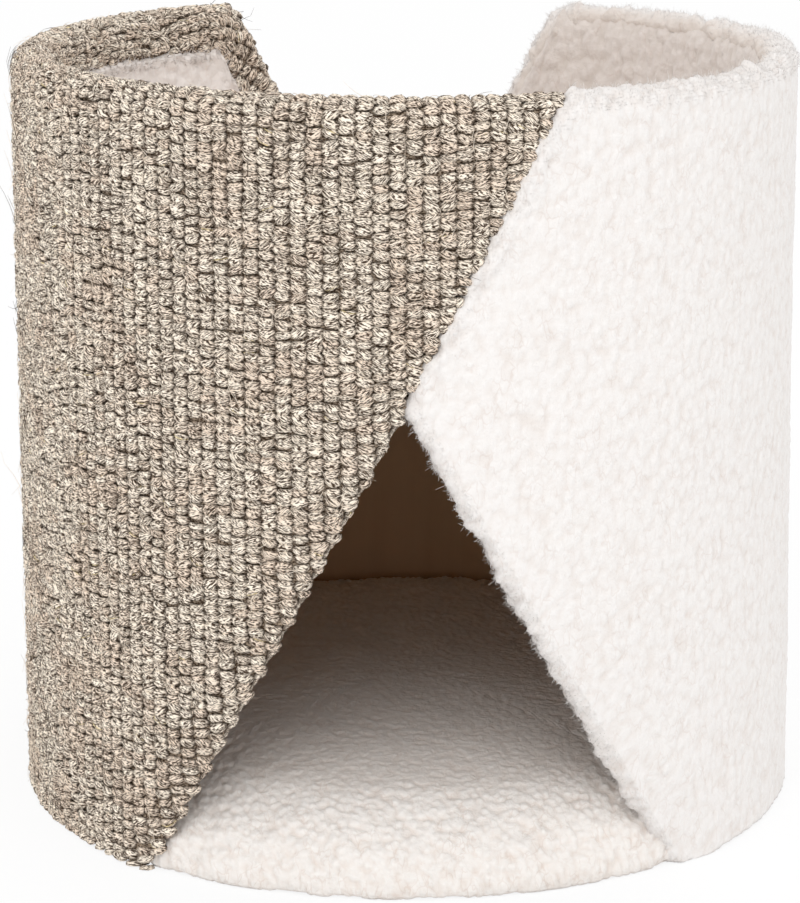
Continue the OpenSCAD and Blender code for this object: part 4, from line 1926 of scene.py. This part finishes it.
@dataclass
class Underside:
    """The felt disc under the base and the staples that hold it."""

    radius: float = 0.1663
    thick: float = 0.0015
    rays: int = 240
    steps: int = 64
    uneven: float = 0.0005
    edge_way: float = 0.03
    wave_size: float = 0.012
    seed: int = 5
    staples: int = 24
    staple_in: float = 0.008
    wire: float = 0.00022
    sides: int = 6

    def felt(self) -> None:
        """Closed disc: a section of foot, round edge and top turned about the axis, with a slight waviness."""
        turns = np.linspace(0.0, 2.0 * np.pi, self.rays, endpoint=False)
        way, angle = np.meshgrid(np.linspace(0.0, 1.0, self.steps), turns, indexing="ij")
        stops = [0.0, 0.47, 0.5, 0.53, 1.0]
        radius = self.radius * np.interp(way, stops, [0.002, 0.997, 1.0, 0.997, 0.002])
        points = on_ring(angle, radius, self.thick * np.interp(way, stops, [0.0, 0.0, 0.5, 1.0, 1.0]))
        edge = np.exp(-(((way - 0.5) / self.edge_way) ** 2))[..., None]
        wave = Noise.smooth(points, self.wave_size, self.seed)[..., None] - 0.5
        points = points + self.uneven * edge * wave * unit(points)
        points[..., 2] = np.clip(points[..., 2], 0.0, self.thick)
        rim = np.arange(self.rays)[None]
        caps = np.concatenate([rim, (self.steps - 1) * self.rays + rim[:, ::-1]])
        faces = [grid_faces(self.steps, self.rays, ring=True)[:, ::-1], caps]
        piece = make_piece("felt_disc", points, faces, "felt", FeltFinish().material())
        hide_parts("underside_felt")

    def staple_row(self, look: Material) -> None:
        """Staples: a round wire of ten millimetres carried along a bridge with two bent legs, in a ring.

        Args:
            look: the wire's material.
        """
        run = np.array([-5.0, -5.0, -4.4, 4.4, 5.0, 5.0]) * 1e-3
        rise = np.array([1.2, 0.5, 0.22, 0.22, 0.5, 1.2]) * 1e-3
        spin = 2.0 * np.pi * np.arange(self.sides) / self.sides
        section = np.stack([0.0 * spin, self.wire * np.cos(spin), self.wire * np.sin(spin)], -1)
        one = (np.stack([run, 0.0 * run, rise], -1)[:, None] + section[None]).reshape(-1, 3)
        angle = 2.0 * np.pi * (np.arange(self.staples) + 0.5) / self.staples
        along = np.stack([np.cos(angle), np.sin(angle), 0.0 * angle], -1)[:, None]
        out = on_ring(angle)[:, None]
        points = (self.radius - self.staple_in) * out + one[:, :1] * along + one[:, 1:2] * out + one[:, 2:] * UP
        first = np.roll(np.arange(self.sides)[::-1], 1)
        caps = np.stack([first, len(one) - self.sides + np.arange(self.sides)])
        faces = tiled((grid_faces(len(run), self.sides, ring=True), caps), self.staples, len(one))
        make_piece("felt_staples", points, faces, "screw_steel", look)

    def build(self, steel: Material) -> None:
        """Builds the felt and its staples."""
        self.felt()
        self.staple_row(steel)


@dataclass
class Boards:
    """The rigid parts, which keep their CAD shapes and get their finishes."""

    steel: Material

    def dress(self) -> None:
        """Gives each board and each row of screws its material."""
        wall, chip = BoardFinish().material(), ChipboardFinish().material()
        looks = {
            "wall_board": wall,
            "base_board": chip,
            "platform_board": chip,
            "platform_screws": self.steel,
            "base_screws": self.steel,
        }
        for name, look in looks.items():
            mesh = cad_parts[name].data
            mesh.materials.clear()
            mesh.materials.append(look)
            log.info("%s: dressed in %s", name, look.name)


@dataclass
class Studio:
    """Camera at the photograph's viewpoint, soft light and a plain pale floor."""

    distance: float = 1.6436
    height: float = 0.5847
    pitch: float = math.radians(14.4087)
    turn: float = math.radians(1.3)
    yaw: float = math.radians(0.0947)
    lens: float = 136.0
    sensor: float = 36.0
    sky: float = 1.0
    key: float = 22.0
    key_size: float = 2.2
    key_place: Colour = (-0.5, -2.3, 2.2)
    key_turn: Colour = (math.radians(47.0), 0.0, math.radians(-12.0))
    floor_colour: Colour = (0.94, 0.94, 0.94)
    floor_half: float = 30.0
    floor_points: int = 7
    floor_glow: float = 0.85

    @staticmethod
    def add(name: str, data: bpy.types.ID) -> Piece:
        """Puts a camera, a lamp or a mesh into the scene.

        Args:
            name: the object's name.
            data: what it shows.

        Returns:
            The object.
        """
        thing = bpy.data.objects.new(name, data)
        bpy.context.scene.collection.objects.link(thing)
        return thing

    def camera(self) -> None:
        """Camera on a circle about the drum, looking slightly down."""
        data = bpy.data.cameras.new("camera")
        data.lens = self.lens
        data.sensor_width = self.sensor
        data.clip_end = 100.0
        eye = self.add("camera", data)
        eye.location = (-self.distance * math.sin(self.turn), -self.distance * math.cos(self.turn), self.height)
        eye.rotation_euler = (math.pi / 2 - self.pitch, 0.0, -self.turn + self.yaw)
        bpy.context.scene.camera = eye

    @staticmethod
    def view_rays(n: Nodes) -> Socket:
        """1 for rays from the camera, from a mirror or through glass, 0 for light that falls on things.

        Args:
            n: the nodes of a material or the world.

        Returns:
            The number.
        """
        rays = n.add("ShaderNodeLightPath").outputs
        seen = n.math("MAXIMUM", rays["Is Camera Ray"], rays["Is Glossy Ray"])
        return n.math("MAXIMUM", seen, rays["Is Transmission Ray"])

    def world(self) -> None:
        """Even white light; what the camera and clear or shiny surfaces see of it is plain white."""
        world = bpy.data.worlds.new("studio")
        world.use_nodes = True
        n = Nodes(world.node_tree)
        light = n.tree.nodes["Background"]
        n.feed(WHITE, light.inputs["Color"])
        n.feed(self.sky, light.inputs["Strength"])
        seen = n.add("ShaderNodeBackground", {"Color": WHITE})
        mixed = n.between(self.view_rays(n), light.outputs[0], seen.outputs[0])
        n.feed(mixed, n.tree.nodes["World Output"].inputs["Surface"])
        bpy.context.scene.world = world

    def floor(self) -> None:
        """Wide pale floor: white to the camera apart from part of the object's shadow."""
        s = Shader("studio_floor", Roughness=1.0, Specular_IOR_Level=0.0)
        s.feed(self.floor_colour, s.surface.inputs["Base Color"])
        glow = s.add("ShaderNodeEmission", {"Color": WHITE})
        share = s.math("MULTIPLY", self.view_rays(s), self.floor_glow)
        mixed = s.between(share, s.surface.outputs[0], glow.outputs[0])
        s.feed(mixed, s.tree.nodes["Material Output"].inputs["Surface"])
        side = np.linspace(-self.floor_half, self.floor_half, self.floor_points)
        x, y = np.meshgrid(side, side)
        points = np.stack([x, y, 0.0 * x], -1).reshape(-1, 3)
        mesh = bpy.data.meshes.new("studio_floor")
        mesh.from_pydata(points.tolist(), [], grid_faces(self.floor_points, self.floor_points).tolist())
        mesh.materials.append(s.material)
        self.add("studio_floor", mesh)

    def lamp(self) -> None:
        """One large soft lamp, high in front."""
        data = bpy.data.lights.new("soft_key", "AREA")
        data.shape = "DISK"
        data.size = self.key_size
        data.energy = self.key
        lamp = self.add("soft_key", data)
        lamp.location = self.key_place
        lamp.rotation_euler = self.key_turn

    def build(self) -> None:
        """Sets up the view and the light."""
        bpy.context.scene.view_settings.view_transform = "Standard"
        self.camera()
        self.world()
        self.floor()
        self.lamp()
        log.info("camera and light set")


def main() -> None:
    """Builds the scene piece by piece."""
    logging.basicConfig(level=logging.INFO, format="%(name)s: %(message)s")
    drum = Drum.from_frame()
    Studio().build()
    steel = SteelFinish().material()
    Boards(steel).dress()
    SisalCover(drum).build()
    plush = PlushFinish().material()
    warm = PlushFinish("den_plush", crest=linear(240, 236, 232), crease=linear(229, 219, 211), line=0.3).material()
    # cream_plush: its darker, creamier colour is partly the tub plush's own and partly painted shade of the tub's
    # inside; its turned colour is painted light on the lining's left
    cream = PlushFinish(
        "cream_plush", crest=linear(223, 214, 208), crease=linear(212, 202, 194), turned=linear(243, 236, 231)
    ).material()
    PlushCover(drum, plush).build()
    TubLining(drum, cream).build()
    DenPad(drum, warm, points=340, tuft=0.0039, held_from=0.62, wave=0.0036).build("den_pad", "den_plush", "den_foam")
    TubPad(drum, cream, points=210, seed=97).build("tub_pad", "tub_plush", "tub_foam")
    Underside().build(steel)
    log.info("all pieces built")


if __name__ == "__main__":
    main()
